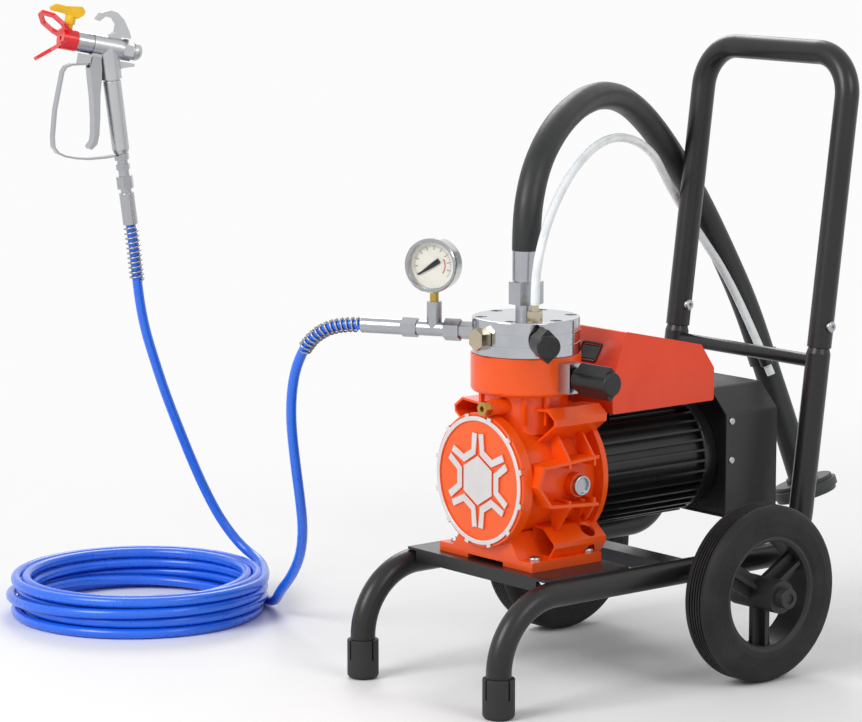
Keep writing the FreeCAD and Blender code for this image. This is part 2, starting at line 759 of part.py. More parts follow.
def decks():
    """The plate under the pump, the angle under the motor and the bar between the uprights."""
    plate = box(
        "deck_sheet", "tube_spacing", "deck_depth", "deck_thickness",
        ("-tube_spacing / 2", "deck_front", "rail_height + tube_radius"))
    lip = box(
        "deck_lip", "deck_lip_width", "deck_thickness", "deck_lip",
        ("-deck_lip_width / 2", "deck_front", "rail_height + tube_radius - deck_lip"))
    holes = [
        cylinder(
            "deck_hole_%d" % index, "bolt_radius + fit_gap", "deck_thickness",
            (x, y, "rail_height + tube_radius"))
        for index, (x, y) in enumerate((
            ("-base_bolt_x", "base_bolt_front"), ("base_bolt_x", "base_bolt_front"),
            ("-base_bolt_x", "base_bolt_rear"), ("base_bolt_x", "base_bolt_rear")))]
    node("deck_plate_front", cut("deck_front_plate", fuse("deck_front_blank", [plate, lip]), holes))

    sheet_z = "rail_height + tube_radius - deck_thickness - rail_drop"
    flat = box(
        "rail_sheet", "tube_spacing", "rail_depth", "deck_thickness", ("-tube_spacing / 2", "rail_front", sheet_z))
    leg = box(
        "rail_leg", "tube_spacing", "deck_thickness", "deck_lip",
        ("-tube_spacing / 2", "rail_front", sheet_z + " - deck_lip"))
    copes = [
        cylinder(side + "_rail_cope", "tube_radius", "rail_depth", (x, "rail_front", "rail_height"), TO_Y)
        for side, x in (("left", "-tube_spacing / 2"), ("right", "tube_spacing / 2"))]
    node("deck_rail_rear", cut("deck_rail", fuse("deck_rail_blank", [flat, leg]), copes))

    bar = cylinder(
        "crossbar_blank", "crossbar_radius", "tube_spacing",
        ("-tube_spacing / 2", "upright_y - crossbar_drop * sin(lean)", "upright_top - crossbar_drop * cos(lean)"),
        TO_X)
    copes = [
        cylinder(
            side + "_bar_cope", "tube_radius", "60",
            (x, "upright_y - 40 * sin(lean)", "upright_top - 40 * cos(lean)"), LEANING)
        for side, x in (("left", "-tube_spacing / 2"), ("right", "tube_spacing / 2"))]
    node("upright_crossbar", cut("crossbar", bar, copes))


side_tube("left", "-tube_spacing / 2")
side_tube("right", "tube_spacing / 2")
push_handle()
frame_bolts()
foot_caps()
decks()

# Wheels


def wheel(side, place, turn):
    """Tyre and three-spoked hub drawn along Z, outboard side up."""
    corners = [
        ("rim_radius", "-rim_width / 2"),
        ("rim_radius + 5", "-tyre_width / 2 + 1", "2"),
        ("wheel_radius - 16", "-tyre_width / 2", "14"),
        ("wheel_radius", "-tyre_width / 2 + 2", "10"),
    ]
    for groove in (-2, -1, 0, 1, 2):
        middle = "%d * tread_groove * 2" % groove
        corners += [
            ("wheel_radius", middle + " - tread_groove / 2"),
            ("wheel_radius - tread_groove", middle + " - tread_groove / 2"),
            ("wheel_radius - tread_groove", middle + " + tread_groove / 2"),
            ("wheel_radius", middle + " + tread_groove / 2")]
    corners += [
        ("wheel_radius", "tyre_width / 2 - 2", "10"),
        ("wheel_radius - 16", "tyre_width / 2", "14"),
        ("rim_radius + 5", "tyre_width / 2 - 1", "2"),
        ("rim_radius", "rim_width / 2"),
    ]
    at = (place, "0", "wheel_radius")
    node("tyre_" + side, turned(side + "_tyre", corners), at, turn)

    rim = turned(side + "_rim", [
        ("rim_radius - rim_wall", "-rim_width / 2"),
        ("rim_radius", "-rim_width / 2"),
        ("rim_radius", "rim_width / 2"),
        ("rim_radius - rim_wall / 2", "rim_width / 2", "1"),
        ("rim_radius - rim_wall", "rim_width / 2 - rim_wall / 2", "2")])
    barrel = cylinder(side + "_hub_barrel", "hub_radius", "hub_inner + hub_outer", ("0", "0", "-hub_inner"))
    spokes = []
    for index in range(3):
        turned_by = Rotation(Vector(0, 0, 1), 120 * index)
        web = box(
            "%s_web_%d" % (side, index), "rim_radius - rim_wall / 2", "spoke_width", "spoke_web",
            ("spoke_width / 2 * sin(%d)" % (120 * index), "-spoke_width / 2 * cos(%d)" % (120 * index),
             "-spoke_web / 2"), turned_by)
        rib = box(
            "%s_rib_%d" % (side, index), "rim_radius - rim_wall / 2", "spoke_rib", "spoke_rib_width",
            ("spoke_rib / 2 * sin(%d)" % (120 * index), "-spoke_rib / 2 * cos(%d)" % (120 * index),
             "-spoke_rib_width / 2"), turned_by)
        spokes += [web, rib]
    bore = cylinder(
        side + "_hub_bore", "axle_radius + running_gap", "hub_inner + hub_outer", ("0", "0", "-hub_inner"))
    blank = fuse(side + "_hub_blank", [rim, barrel, *spokes])
    node("hub_" + side, cut(side + "_hub", blank, [bore]), at, turn)


def axle():
    """A plain bar through both lugs with a cap on each end."""
    node("axle", cylinder("axle_bar", "axle_radius", "axle_length"), ("-axle_length / 2", "0", "wheel_radius"), TO_X)
    caps = []
    start = "wheel_spacing / 2 + hub_outer + axle_cap_gap"
    for side, x, turn in (("left", "-(" + start + ")", TO_LEFT), ("right", start, TO_X)):
        cap = turned(side + "_axle_cap", [
            ("axle_radius", "0"),
            ("axle_cap_radius", "0"),
            ("axle_cap_radius", "axle_cap_length", "1.5"),
            ("axle_cap_radius / 2", "axle_cap_length"),
            ("axle_cap_radius / 2", "axle_cap_length - 2"),
            ("0", "axle_cap_length - 2"),
            ("0", "axle_length / 2 - (" + start + ")"),
            ("axle_radius", "axle_length / 2 - (" + start + ")")])
        caps.append(put(cap, (x, "0", "wheel_radius"), turn))
    node("axle_caps", group("axle_caps", caps))


wheel("left", "-wheel_spacing / 2", TO_LEFT)
wheel("right", "wheel_spacing / 2", TO_X)
axle()

# Pump casting and its drive

PUMP = ("0", "barrel_front", "pump_axis")
HEAD = ("0", "head_y", "0")


def hood(name, mirrored, front="hood_front"):
    """A thin cowl beside the barrel, open to the front."""
    body = slab(name + "_shell", profile(name.rsplit("_", 1)[0], mirrored=mirrored), "hood_rear - " + front)
    hollow(body, name + "_shell_wall", "hood_wall", Vector(0, 0, 1))
    return put(body, ("0", "hood_rear", "0"), TO_FRONT)


def pump_housing():
    """One casting: crank barrel, foot, cowls, side pocket and the cylinder on its neck."""
    barrel = turned("barrel", [
        ("0", "0"),
        ("barrel_radius", "0", "1.5"),
        ("barrel_radius", "lip_width", "1.5"),
        ("barrel_radius - lip_step", "lip_width + lip_step"),
        ("barrel_radius - lip_step", "barrel_length - flange_width"),
        ("flange_radius", "barrel_length - flange_width"),
        ("flange_radius", "barrel_length"),
        ("0", "barrel_length")])
    put(barrel, PUMP, TO_Y)
    foot = box(
        "base_foot", "base_width", "base_depth", "base_height",
        ("-base_width / 2", "base_front", "rail_height + tube_radius + deck_thickness"))
    pedestal = slab("pedestal_web", profile("pedestal"), "base_depth")
    put(pedestal, ("0", "base_front + base_depth", "0"), TO_FRONT)
    neck = cylinder("neck", "neck_radius", "cylinder_bottom - neck_bottom", ("0", "head_y", "neck_bottom"))
    drum = put(turned("hydraulic_drum", [
        ("0", "cylinder_bottom"),
        ("cylinder_radius", "cylinder_bottom", "6"),
        ("cylinder_radius", "cylinder_top", "1"),
        ("0", "cylinder_top")]), HEAD)
    cowls = [
        hood("upper_hood_right", False), hood("upper_hood_left", True, "left_hood_front"),
        hood("lower_hood_right", False), hood("lower_hood_left", True)]
    pocket_block = slab("pocket_blank", profile("side_pocket"), "pocket_reach - pocket_start")
    put(hollow(pocket_block, "pocket_wall_shell", "pocket_wall", Vector(0, 0, 1)), ("pocket_start", "0", "0"), ALONG_X)
    pocket_mouth = box(
        "pocket_mouth", "pocket_reach - pocket_start", "pocket_wall + 1", "pocket_tall",
        ("pocket_start", "pocket_rear - pocket_wall - 0.5", "pocket_low"))
    pocket = cut("pocket", pocket_block, [pocket_mouth])
    ribs = []
    for row, y in enumerate(("rib_front_y", "rib_rear_y")):
        for level in ("upper", "lower"):
            for side, mirrored in (("right", False), ("left", True)):
                rib = slab(
                    "rib_%s_%s_%d" % (level, side, row), profile("pocket_rib_" + level, mirrored=mirrored), "rib_width")
                ribs.append(put(rib, ("0", y + " + rib_width / 2", "0"), TO_FRONT))
    neck_ribs = [
        box("neck_rib_%d" % index, "4", "4", "cylinder_bottom - 296", (x, y, "296"))
        for index, (x, y) in enumerate((("-30", "-242"), ("36", "-235"), ("48", "-214")))]
    boss = cylinder(
        "glass_boss", "boss_radius", "boss_reach - pocket_start", ("pocket_start", "glass_y", "glass_height"), TO_X)
    fill_boss = cylinder(
        "fill_boss", "fill_boss_radius", "28", ("fill_x", "barrel_front", "fill_height"), TO_Y)
    blank = fuse("housing_blank", [
        barrel, foot, pedestal, neck, drum, *cowls, pocket, *ribs, *neck_ribs, boss, fill_boss])

    recess = cylinder("cover_recess", "cover_radius + cover_recess_gap", "cover_thickness", PUMP, TO_Y)
    cavity = cylinder("crank_cavity", "crank_bore", "crank_depth", PUMP, TO_Y)
    shaft_bore = cylinder("rear_bore", "shaft_radius + running_gap", "barrel_length", PUMP, TO_Y)
    piston_bore = cylinder(
        "piston_bore", "piston_radius + running_gap", "cylinder_top - pump_axis", ("0", "head_y", "pump_axis"))
    chamber = cylinder(
        "oil_chamber", "chamber_radius", "chamber_height", ("0", "head_y", "cylinder_top - chamber_height"))
    glass_hole = cylinder(
        "glass_hole", "glass_radius", "boss_reach - 30", ("30", "glass_y", "glass_height"), TO_X)
    arch = box(
        "foot_arch", "arch_width", "base_depth", "arch_height",
        ("-arch_width / 2", "base_front", "rail_height + tube_radius + deck_thickness"))
    notches = [
        box(
            "cover_notch_%d" % index, "6", "tab_width + 2 * cover_recess_gap", "cover_thickness",
            ("(cover_radius - 2) * cos(%d) + (tab_width / 2 + cover_recess_gap) * sin(%d)" % (angle, angle),
             "barrel_front + cover_thickness",
             "pump_axis + (cover_radius - 2) * sin(%d) - (tab_width / 2 + cover_recess_gap) * cos(%d)"
             % (angle, angle)),
            TO_FRONT * Rotation(Vector(0, 0, 1), angle))
        for index, angle in enumerate(range(15, 375, 30))]
    base_holes = [
        cylinder(
            "base_hole_%d" % index, "bolt_radius + fit_gap", "base_height + 1",
            (x, y, "rail_height + tube_radius + deck_thickness"))
        for index, (x, y) in enumerate((
            ("-base_bolt_x", "base_bolt_front"), ("base_bolt_x", "base_bolt_front"),
            ("-base_bolt_x", "base_bolt_rear"), ("base_bolt_x", "base_bolt_rear")))]
    seats = [
        cylinder(
            "base_seat_%d" % index, "bolt_head_radius + 2", "60",
            (x, y, "rail_height + tube_radius + deck_thickness + base_height"))
        for index, (x, y) in enumerate((("-base_bolt_x", "base_bolt_rear"), ("base_bolt_x", "base_bolt_rear")))]
    screw_holes = head_screw_holes(
        "housing", "cylinder_top + head_height - screw_sink - screw_length - screw_relief", "screw_length")
    fill_hole = cylinder("fill_hole", "fill_boss_radius / 2", "14", ("fill_x", "barrel_front", "fill_height"), TO_Y)
    node("pump_housing", cut("housing", blank, [
        recess, cavity, shaft_bore, piston_bore, chamber, glass_hole, arch, fill_hole,
        *notches, *base_holes, *seats, *screw_holes]))


def head_screw_holes(owner, bottom, length, radius="screw_radius"):
    return [
        cylinder(
            "%s_screw_hole_%d" % (owner, index), radius, length,
            ("screw_circle * cos(%d)" % (60 * index), "head_y + screw_circle * sin(%d)" % (60 * index), bottom))
        for index in range(6)]


def front_cover():
    """Round cover with a raised ring, twelve tabs, a hexagon and six brackets."""
    top = "cover_thickness + ring_height"
    disc = turned("cover_disc", [
        ("0", "-cover_spigot"),
        ("crank_bore - fit_gap", "-cover_spigot"),
        ("crank_bore - fit_gap", "0"),
        ("cover_radius", "0"),
        ("cover_radius", top, "0.6"),
        ("cover_radius - ring_band", top, "0.6"),
        ("cover_radius - ring_band", "cover_thickness"),
        ("0", "cover_thickness")])
    tabs = [
        box(
            "cover_tab_%d" % index, "tab_reach - cover_radius + 2", "tab_width", top,
            ("(cover_radius - 2) * cos(%d) + tab_width / 2 * sin(%d)" % (angle, angle),
             "(cover_radius - 2) * sin(%d) - tab_width / 2 * cos(%d)" % (angle, angle), "0"),
            Rotation(Vector(0, 0, 1), angle))
        for index, angle in enumerate(range(15, 375, 30))]
    emblem = hexagon(
        "emblem", "emblem_hexagon", "cover_thickness + emblem_height", HERE, Rotation(Vector(0, 0, 1), 90))
    brackets = [
        put(slab("bracket_%d" % index, profile("emblem_bracket"), "cover_thickness + emblem_height"),
            HERE, Rotation(Vector(0, 0, 1), 60 * index))
        for index in range(6)]
    node(
        "front_cover", fuse("cover_body", [disc, *tabs, emblem, *brackets]),
        ("0", "barrel_front + cover_thickness", "pump_axis"), TO_FRONT)


def fill_plug_and_glass():
    plug = turned("fill_plug_thread", [
        ("0", "-8"), ("fill_boss_radius / 2", "-8"), ("fill_boss_radius / 2", "0"), ("0", "0")])
    plug_head = hexagon("fill_plug_head", "fill_hexagon", "fill_length")
    socket = hexagon("fill_plug_socket", "socket_radius", "fill_length / 2", ("0", "0", "fill_length / 2"))
    node(
        "oil_fill_plug", cut("fill_plug", fuse("fill_plug_blank", [plug, plug_head]), [socket]),
        ("fill_x", "barrel_front", "fill_height"), TO_FRONT)
    glass = turned("sight_glass", [
        ("0", "0"),
        ("glass_radius", "0"),
        ("glass_radius", "12"),
        ("glass_collar", "12"),
        ("glass_collar", "18", "1.5"),
        ("glass_radius", "18", "0.8"),
        ("glass_radius", "15"),
        ("0", "15")])
    node("oil_sight_glass", glass, ("boss_reach - 12", "glass_y", "glass_height"), TO_X)


def drive():
    """Motor shaft with its eccentric and rotor, and the piston that the eccentric lifts."""
    shaft = cylinder("shaft_bar", "shaft_radius", "shaft_length", ("0", "shaft_front", "pump_axis"), TO_Y)
    disc = cylinder(
        "eccentric_disc", "eccentric_radius", "eccentric_width",
        ("eccentric_throw * sin(eccentric_angle)", "head_y - eccentric_width / 2",
         "pump_axis + eccentric_throw * cos(eccentric_angle)"), TO_Y)
    rotor = cylinder(
        "rotor_core", "rotor_radius", "stator_length + 2 * rotor_overhang",
        ("0", "stator_front - rotor_overhang", "pump_axis"), TO_Y)
    node("motor_shaft", fuse("shaft", [shaft, disc, rotor]))
    piston = turned("piston_body", [
        ("0", "piston_rest"),
        ("piston_foot", "piston_rest", "1"),
        ("piston_foot", "piston_rest + piston_foot_height", "1"),
        ("piston_radius", "piston_rest + piston_foot_height"),
        ("piston_radius", "piston_top", "1"),
        ("0", "piston_top")])
    node("piston", piston, HEAD)
    membrane = cylinder("membrane", "diaphragm_radius", "diaphragm_thickness")
    node("diaphragm", membrane, ("0", "head_y", "cylinder_top"))


def pump_head():
    """Steel head with two turned grooves, six sunk screws and ports for the fittings."""
    rows = []
    for groove in (1, 2):
        middle = "head_height * %d / 3" % groove
        rows += [
            ("head_radius", middle + " - groove_width / 2"),
            ("head_radius - groove_depth", middle + " - groove_width / 2"),
            ("head_radius - groove_depth", middle + " + groove_width / 2"),
            ("head_radius", middle + " + groove_width / 2")]
    blank = put(turned("head_blank", [
        ("0", "diaphragm_thickness"),
        ("diaphragm_radius + fit_gap", "diaphragm_thickness"),
        ("diaphragm_radius + fit_gap", "0"),
        ("head_radius", "0", "1"),
        *rows,
        ("head_radius", "head_height", "1.5"),
        ("0", "head_height")]), ("0", "head_y", "cylinder_top"))
    top = "cylinder_top + head_height"
    holes = head_screw_holes("head", "cylinder_top", "head_height")
    sinks = head_screw_holes("head_sink", top + " - screw_sink", "screw_sink", "screw_head_radius + fit_gap")
    ports = [
        cylinder("suction_port", "suction_thread", "port_depth", ("0", "head_y", top + " - port_depth")),
        cylinder("return_port", "port_radius", "port_depth", ("return_x", "return_y", top + " - port_depth"))]
    for name, angle in (("outlet", v.outlet_heading), ("plug", 270), ("prime", v.prime_heading)):
        start = "(head_radius - port_depth)"
        ports.append(cylinder(
            name + "_port", "port_radius", "port_depth",
            ("%s * cos(%g)" % (start, angle), "head_y + %s * sin(%g)" % (start, angle), "outlet_height"),
            heading(angle)))
    node("pump_head", cut("head_drilled", blank, [*holes, *sinks, *ports]))


def head_bolts():
    """Six socket screws sunk in the head."""
    screws = []
    for index in range(6):
        shank = cylinder(
            "head_screw_shank_%d" % index, "screw_radius", "screw_length", ("0", "0", "-screw_length"))
        head = cylinder("head_screw_head_%d" % index, "screw_head_radius", "screw_head_height")
        socket = hexagon(
            "head_screw_socket_%d" % index, "socket_radius", "screw_head_height / 2",
            ("0", "0", "screw_head_height / 2"))
        screw = cut("head_screw_%d" % index, fuse("head_screw_blank_%d" % index, [shank, head]), [socket])
        screws.append(put(screw, (
            "screw_circle * cos(%d)" % (60 * index), "head_y + screw_circle * sin(%d)" % (60 * index),
            "cylinder_top + head_height - screw_sink")))
    node("head_bolts", group("head_bolts", screws))


pump_housing()
front_cover()
fill_plug_and_glass()
drive()
pump_head()
head_bolts()

# Fittings, valves and gauge

HEAD_SIDE = ("0", "head_y", "outlet_height")


def fittings():
    top = "cylinder_top + head_height"
    thread = cylinder(
        "suction_thread_bar", "suction_thread", "suction_thread_length + port_depth", ("0", "0", "-port_depth"))
    nut = hexagon("suction_nut_body", "suction_nut", "suction_nut_height", ("0", "0", "suction_thread_length"))
    neck_z = "suction_thread_length + suction_nut_height"
    neck = cylinder("suction_neck_ring", "suction_neck", "suction_neck_length", ("0", "0", neck_z))
    ferrule = cylinder(
        "suction_sleeve", "suction_ferrule", "suction_ferrule_length", ("0", "0", neck_z + " + suction_neck_length"))
    node("suction_fitting", fuse("suction_elbow", [thread, nut, neck, ferrule]), ("0", "head_y", top))

    root = cylinder("return_root", "port_radius", "port_depth", ("0", "0", "-port_depth"))
    nut = hexagon("return_hexagon", "return_nut", "return_nut_height")
    stem = cylinder("return_barb", "return_stem", "return_stem_length", ("0", "0", "return_nut_height"))
    node("return_fitting", fuse("return_union", [root, nut, stem]), ("return_x", "return_y", top))

    plug = hexagon("plug_hexagon_body", "plug_hexagon", "plug_length", ("0", "0", "head_radius"))
    root = cylinder("plug_root", "port_radius", "port_depth", ("0", "0", "head_radius - port_depth"))
    node("head_plug", fuse("head_plug_body", [plug, root]), HEAD_SIDE, heading(270))

    root = cylinder("adapter_root", "port_radius", "port_depth", ("0", "0", "head_radius - port_depth"))
    body = hexagon("adapter_body", "adapter_hexagon", "adapter_end - head_radius", ("0", "0", "head_radius"))
    node("outlet_adapter", fuse("adapter", [root, body]), HEAD_SIDE, heading(v.outlet_heading))

    nut = hexagon("tee_nut_body", "tee_nut", "tee_nut_end - adapter_end", ("0", "0", "adapter_end"))
    run = cylinder("tee_run", "tee_body", "tee_end_nut_start - tee_nut_end", ("0", "0", "tee_nut_end"))
    end_nut = hexagon("tee_end_hexagon", "tee_end_nut", "tee_end - tee_end_nut_start", ("0", "0", "tee_end_nut_start"))
    branch = cylinder(
        "tee_branch", "tee_body", "tee_branch_top - outlet_height", ("0", "0", "gauge_place"),
        Rotation(Vector(0, 1, 0), -90))
    node("outlet_tee", fuse("tee", [nut, run, end_nut, branch]), HEAD_SIDE, heading(v.outlet_heading))


def gauge():
    """Round dial gauge on the tee's branch; the needle turns on a pin under a glass."""
    centre_x = "gauge_place * cos(outlet_heading)"
    centre_y = "head_y + gauge_place * sin(outlet_heading)"
    face = heading(v.gauge_heading)
    back_x = centre_x + " - gauge_depth / 2 * cos(gauge_heading)"
    back_y = centre_y + " - gauge_depth / 2 * sin(gauge_heading)"
    case = put(turned("gauge_cup", [
        ("0", "0"),
        ("gauge_radius", "0", "4"),
        ("gauge_radius", "gauge_depth", "2"),
        ("dial_radius + 1", "gauge_depth"),
        ("dial_radius + 1", "gauge_depth - lens_thickness - 0.8"),
        ("dial_radius", "gauge_depth - lens_thickness - 0.8"),
        ("dial_radius", "gauge_depth - dial_depth"),
        ("0", "gauge_depth - dial_depth")]), (back_x, back_y, "gauge_height"), face)
    stem = cylinder(
        "gauge_stem_bar", "gauge_stem", "gauge_height - gauge_radius + 3 - tee_branch_top",
        (centre_x, centre_y, "tee_branch_top"))
    node("gauge_case", fuse("gauge_body", [case, stem]))
    needle = slab("needle_blade", [
        ("-10", "-3"), ("0", "-2.6"), ("20", "-0.6"), ("20", "0.6"), ("0", "2.6"), ("-10", "3")], "1")
    put(needle, ("0", "0", "1.2"), Rotation(Vector(0, 0, 1), v.needle_angle))
    pin_bar = cylinder("needle_pin", "1.6", "2.8", ("0", "0", "0.3"))
    depth = "(gauge_depth / 2 - dial_depth)"
    node(
        "gauge_needle", fuse("needle", [needle, pin_bar]),
        (centre_x + " + %s * cos(gauge_heading)" % depth, centre_y + " + %s * sin(gauge_heading)" % depth,
         "gauge_height"), face)
    lens = cylinder("lens_disc", "dial_radius + 1 - 0.1", "lens_thickness", ("0", "0", "0"))
    depth = "(gauge_depth / 2 - lens_thickness - 0.8)"
    node(
        "gauge_lens", lens,
        (centre_x + " + %s * cos(gauge_heading)" % depth, centre_y + " + %s * sin(gauge_heading)" % depth,
         "gauge_height"), face)


def lobed_knob(name, start, length):
    """Round grip with two pointed wings, drawn along Z."""
    grip = turned(name + "_grip", [
        ("0", start),
        ("knob_radius", start, "2"),
        ("knob_radius", start + " + " + length, "2.5"),
        ("0", start + " + " + length)])
    wings = slab(name + "_wings", [
        ("knob_lobe", "-0.8"), ("knob_lobe", "0.8"), ("9.7", "9.2"), ("-9.7", "9.2"),
        ("-knob_lobe", "0.8"), ("-knob_lobe", "-0.8"), ("-9.7", "-9.2"), ("9.7", "-9.2")], length + " - 8")
    return [grip, put(wings, ("0", "0", start + " + 4"))]


def knobs():
    """Prime knob on the head, and the pressure valve with its knob on the cylinder."""
    grip = lobed_knob("prime", "prime_knob_start", "prime_knob_length")
    stem = cylinder(
        "prime_stem", "port_radius - running_gap", "prime_knob_start - head_radius + port_depth",
        ("0", "0", "head_radius - port_depth"))
    node("prime_knob", fuse("prime_knob_body", [*grip, stem]), HEAD_SIDE, heading(v.prime_heading))

    side = ("0", "head_y", "pressure_height")
    block = box(
        "valve_block", "pressure_block_height", "pressure_block_width", "pressure_block_end - neck_radius",
        ("-pressure_block_height / 2", "-pressure_block_width / 2", "neck_radius"))
    cope = cylinder(
        "valve_block_cope", "cylinder_radius", "pressure_block_height * 2", ("-pressure_block_height", "0", "0"), TO_X)
    stem_hole = cylinder(
        "valve_stem_hole", "knob_stem + running_gap", "port_depth", ("0", "0", "pressure_block_end - port_depth"))
    node(
        "pressure_valve_block", cut("valve_block_cut", block, [cope, stem_hole]), side,
        heading(v.pressure_heading))
    grip = lobed_knob("pressure", "pressure_block_end + 4", "pressure_knob_end - pressure_block_end - 4")
    stem = cylinder("pressure_stem", "knob_stem", "port_depth + 4", ("0", "0", "pressure_block_end - port_depth"))
    node("pressure_knob", fuse("pressure_knob_body", [*grip, stem]), side, heading(v.pressure_heading))


fittings()
gauge()
knobs()

# Motor, its cover and the control box

AXIS = ("0", "0", "pump_axis")


def motor():
    """Finned shell with a rear bell, the wound ring inside it and the fan behind it."""
    shell = put(turned("motor_shell_body", [
        ("motor_inner", "motor_front"),
        ("motor_shell", "motor_front"),
        ("motor_shell", "motor_rear"),
        ("bell_radius", "motor_rear", "2"),
        ("bell_radius", "shroud_front", "2"),
        ("bell_radius - 12", "shroud_front"),
        ("bell_radius - 12", "bell_rear"),
        ("shaft_radius + running_gap", "bell_rear"),
        ("shaft_radius + running_gap", "bell_rear - bell_plate"),
        ("motor_inner - 10", "bell_rear - bell_plate"),
        ("motor_inner - 10", "motor_rear"),
        ("motor_inner", "motor_rear")]), AXIS, TO_Y)
    fins = [
        box(
            "fin_%d" % index, "motor_fin_reach - motor_shell + 1", "motor_fin_width", "motor_rear - fin_front",
            ("(motor_shell - 1) * cos(%d) + motor_fin_width / 2 * sin(%d)" % (10 * index, 10 * index),
             "motor_rear",
             "pump_axis + (motor_shell - 1) * sin(%d) - motor_fin_width / 2 * cos(%d)" % (10 * index, 10 * index)),
            TO_FRONT * Rotation(Vector(0, 0, 1), 10 * index))
        for index in range(int(v.motor_fins))]
    plate = slab("shroud_mount", [
        ("-(shroud_across_1 - shroud_wall)", "shroud_up_0 + shroud_wall", "mount_corner"),
        ("shroud_across_1 - shroud_wall", "shroud_up_0 + shroud_wall", "mount_corner"),
        ("shroud_across_1 - shroud_wall", "shroud_up_2 - 0.7", "mount_corner"),
        ("shroud_across_3 - 0.7", "shroud_up_3 - shroud_wall", "mount_corner"),
        ("-(shroud_across_3 - 0.7)", "shroud_up_3 - shroud_wall", "mount_corner"),
        ("-(shroud_across_1 - shroud_wall)", "shroud_up_2 - 0.7", "mount_corner")], "shroud_plate")
    put(plate, ("0", "shroud_front + shroud_plate + 3", "0"), TO_FRONT)
    opening = cylinder(
        "mount_opening", "bell_radius - 12", "shroud_plate", ("0", "shroud_front + 3", "pump_axis"), TO_Y)
    collar = cylinder("mount_collar", "bell_radius", "shroud_plate + 3", ("0", "shroud_front", "pump_axis"), TO_Y)
    collar_inner = cylinder(
        "mount_collar_inner", "bell_radius - 12.5", "shroud_plate + 3", ("0", "shroud_front", "pump_axis"), TO_Y)
    mount = cut("mount_ring", fuse("mount_blank", [cut("mount_plate", plate, [opening]), collar]), [collar_inner])
    saddle = box(
        "box_saddle", "2 * saddle_half_width", "100", "box_bottom - 283", ("-saddle_half_width", "-105", "283"))
    saddle_trim = cylinder(
        "saddle_trim", "motor_shell - 1", "110", ("0", "-110", "pump_axis"), TO_Y)
    pads = cut("saddle", saddle, [saddle_trim])
    screw_holes = [
        put(turned("shroud_screw_hole_%d" % index, [
            ("0", "-7"), ("1.75", "-7"), ("1.75", "3"), ("0", "3")]), at, turn)
        for index, (at, turn) in enumerate(SHROUD_SCREWS)]
    node("motor_housing", cut("motor_body", fuse("motor_blank", [shell, *fins, mount, pads]), screw_holes))

    ring = turned("stator_ring", [
        ("stator_inner", "stator_front"),
        ("motor_inner", "stator_front"),
        ("motor_inner", "stator_front + stator_length"),
        ("stator_inner", "stator_front + stator_length")])
    node("stator", ring, AXIS, TO_Y)

    hub = turned("fan_hub_body", [
        ("shaft_radius", "0"), ("fan_hub", "0", "1"), ("fan_hub", "fan_length", "1"), ("shaft_radius", "fan_length")])
    disc = turned("fan_disc", [
        ("fan_hub - 1", "0"), ("fan_radius", "0"), ("fan_radius", "fan_blade"), ("fan_hub - 1", "fan_blade")])
    blades = [
        box(
            "fan_blade_%d" % index, "fan_radius - fan_hub + 1", "fan_blade", "fan_length",
            ("(fan_hub - 1) * cos(%d) + fan_blade / 2 * sin(%d)" % (45 * index, 45 * index),
             "(fan_hub - 1) * sin(%d) - fan_blade / 2 * cos(%d)" % (45 * index, 45 * index), "0"),
            Rotation(Vector(0, 0, 1), 45 * index))
        for index in range(8)]
    node("cooling_fan", fuse("fan", [hub, disc, *blades]), ("0", "fan_front", "pump_axis"), TO_Y)


SHROUD_SCREWS = []
for z in ("232", "277"):
    SHROUD_SCREWS.append((("shroud_across_1", "shroud_screw_y", z), TO_X))
    SHROUD_SCREWS.append((("-shroud_across_1", "shroud_screw_y", z), TO_LEFT))
for x in ("-42", "42"):
    SHROUD_SCREWS.append(((x, "shroud_screw_y", "shroud_up_3"), NO_TURN))


def fan_cover():
    """Folded sheet cover with a slotted rear wall, held by six screws."""
    shell = slab("shroud_shell", profile("shroud", "shroud_corner"), "shroud_depth")
    hollow(shell, "shroud_shell_wall", "shroud_wall", Vector(0, 0, 1))
    put(shell, ("0", "shroud_front + shroud_depth", "0"), TO_FRONT)
    slots = [
        box(
            "shroud_slot_%d" % index, "104 - 2 * abs(%d)" % (10 * index), "shroud_wall * 4", "slot_width",
            ("-(52 - abs(%d))" % (10 * index), "shroud_front + shroud_depth - shroud_wall * 2",
             "pump_axis + %d" % (11 * index)))
        for index in range(-4, 5)]
    holes = [
        put(turned("shroud_hole_%d" % index, [
            ("0", "-4"), ("1.75", "-4"), ("1.75", "2"), ("0", "2")]), at, turn)
        for index, (at, turn) in enumerate(SHROUD_SCREWS)]
    node("fan_cover", cut("shroud_body", shell, [*slots, *holes]))
    screws = []
    for index, (at, turn) in enumerate(SHROUD_SCREWS):
        screws.append(put(turned("shroud_screw_%d" % index, [
            ("0", "-6"), ("1.7", "-6"), ("1.7", "0"), ("4.2", "0"), ("4.2", "2.2", "1.4"), ("0", "2.2")]), at, turn))
    node("cover_screws", group("cover_screws", screws))


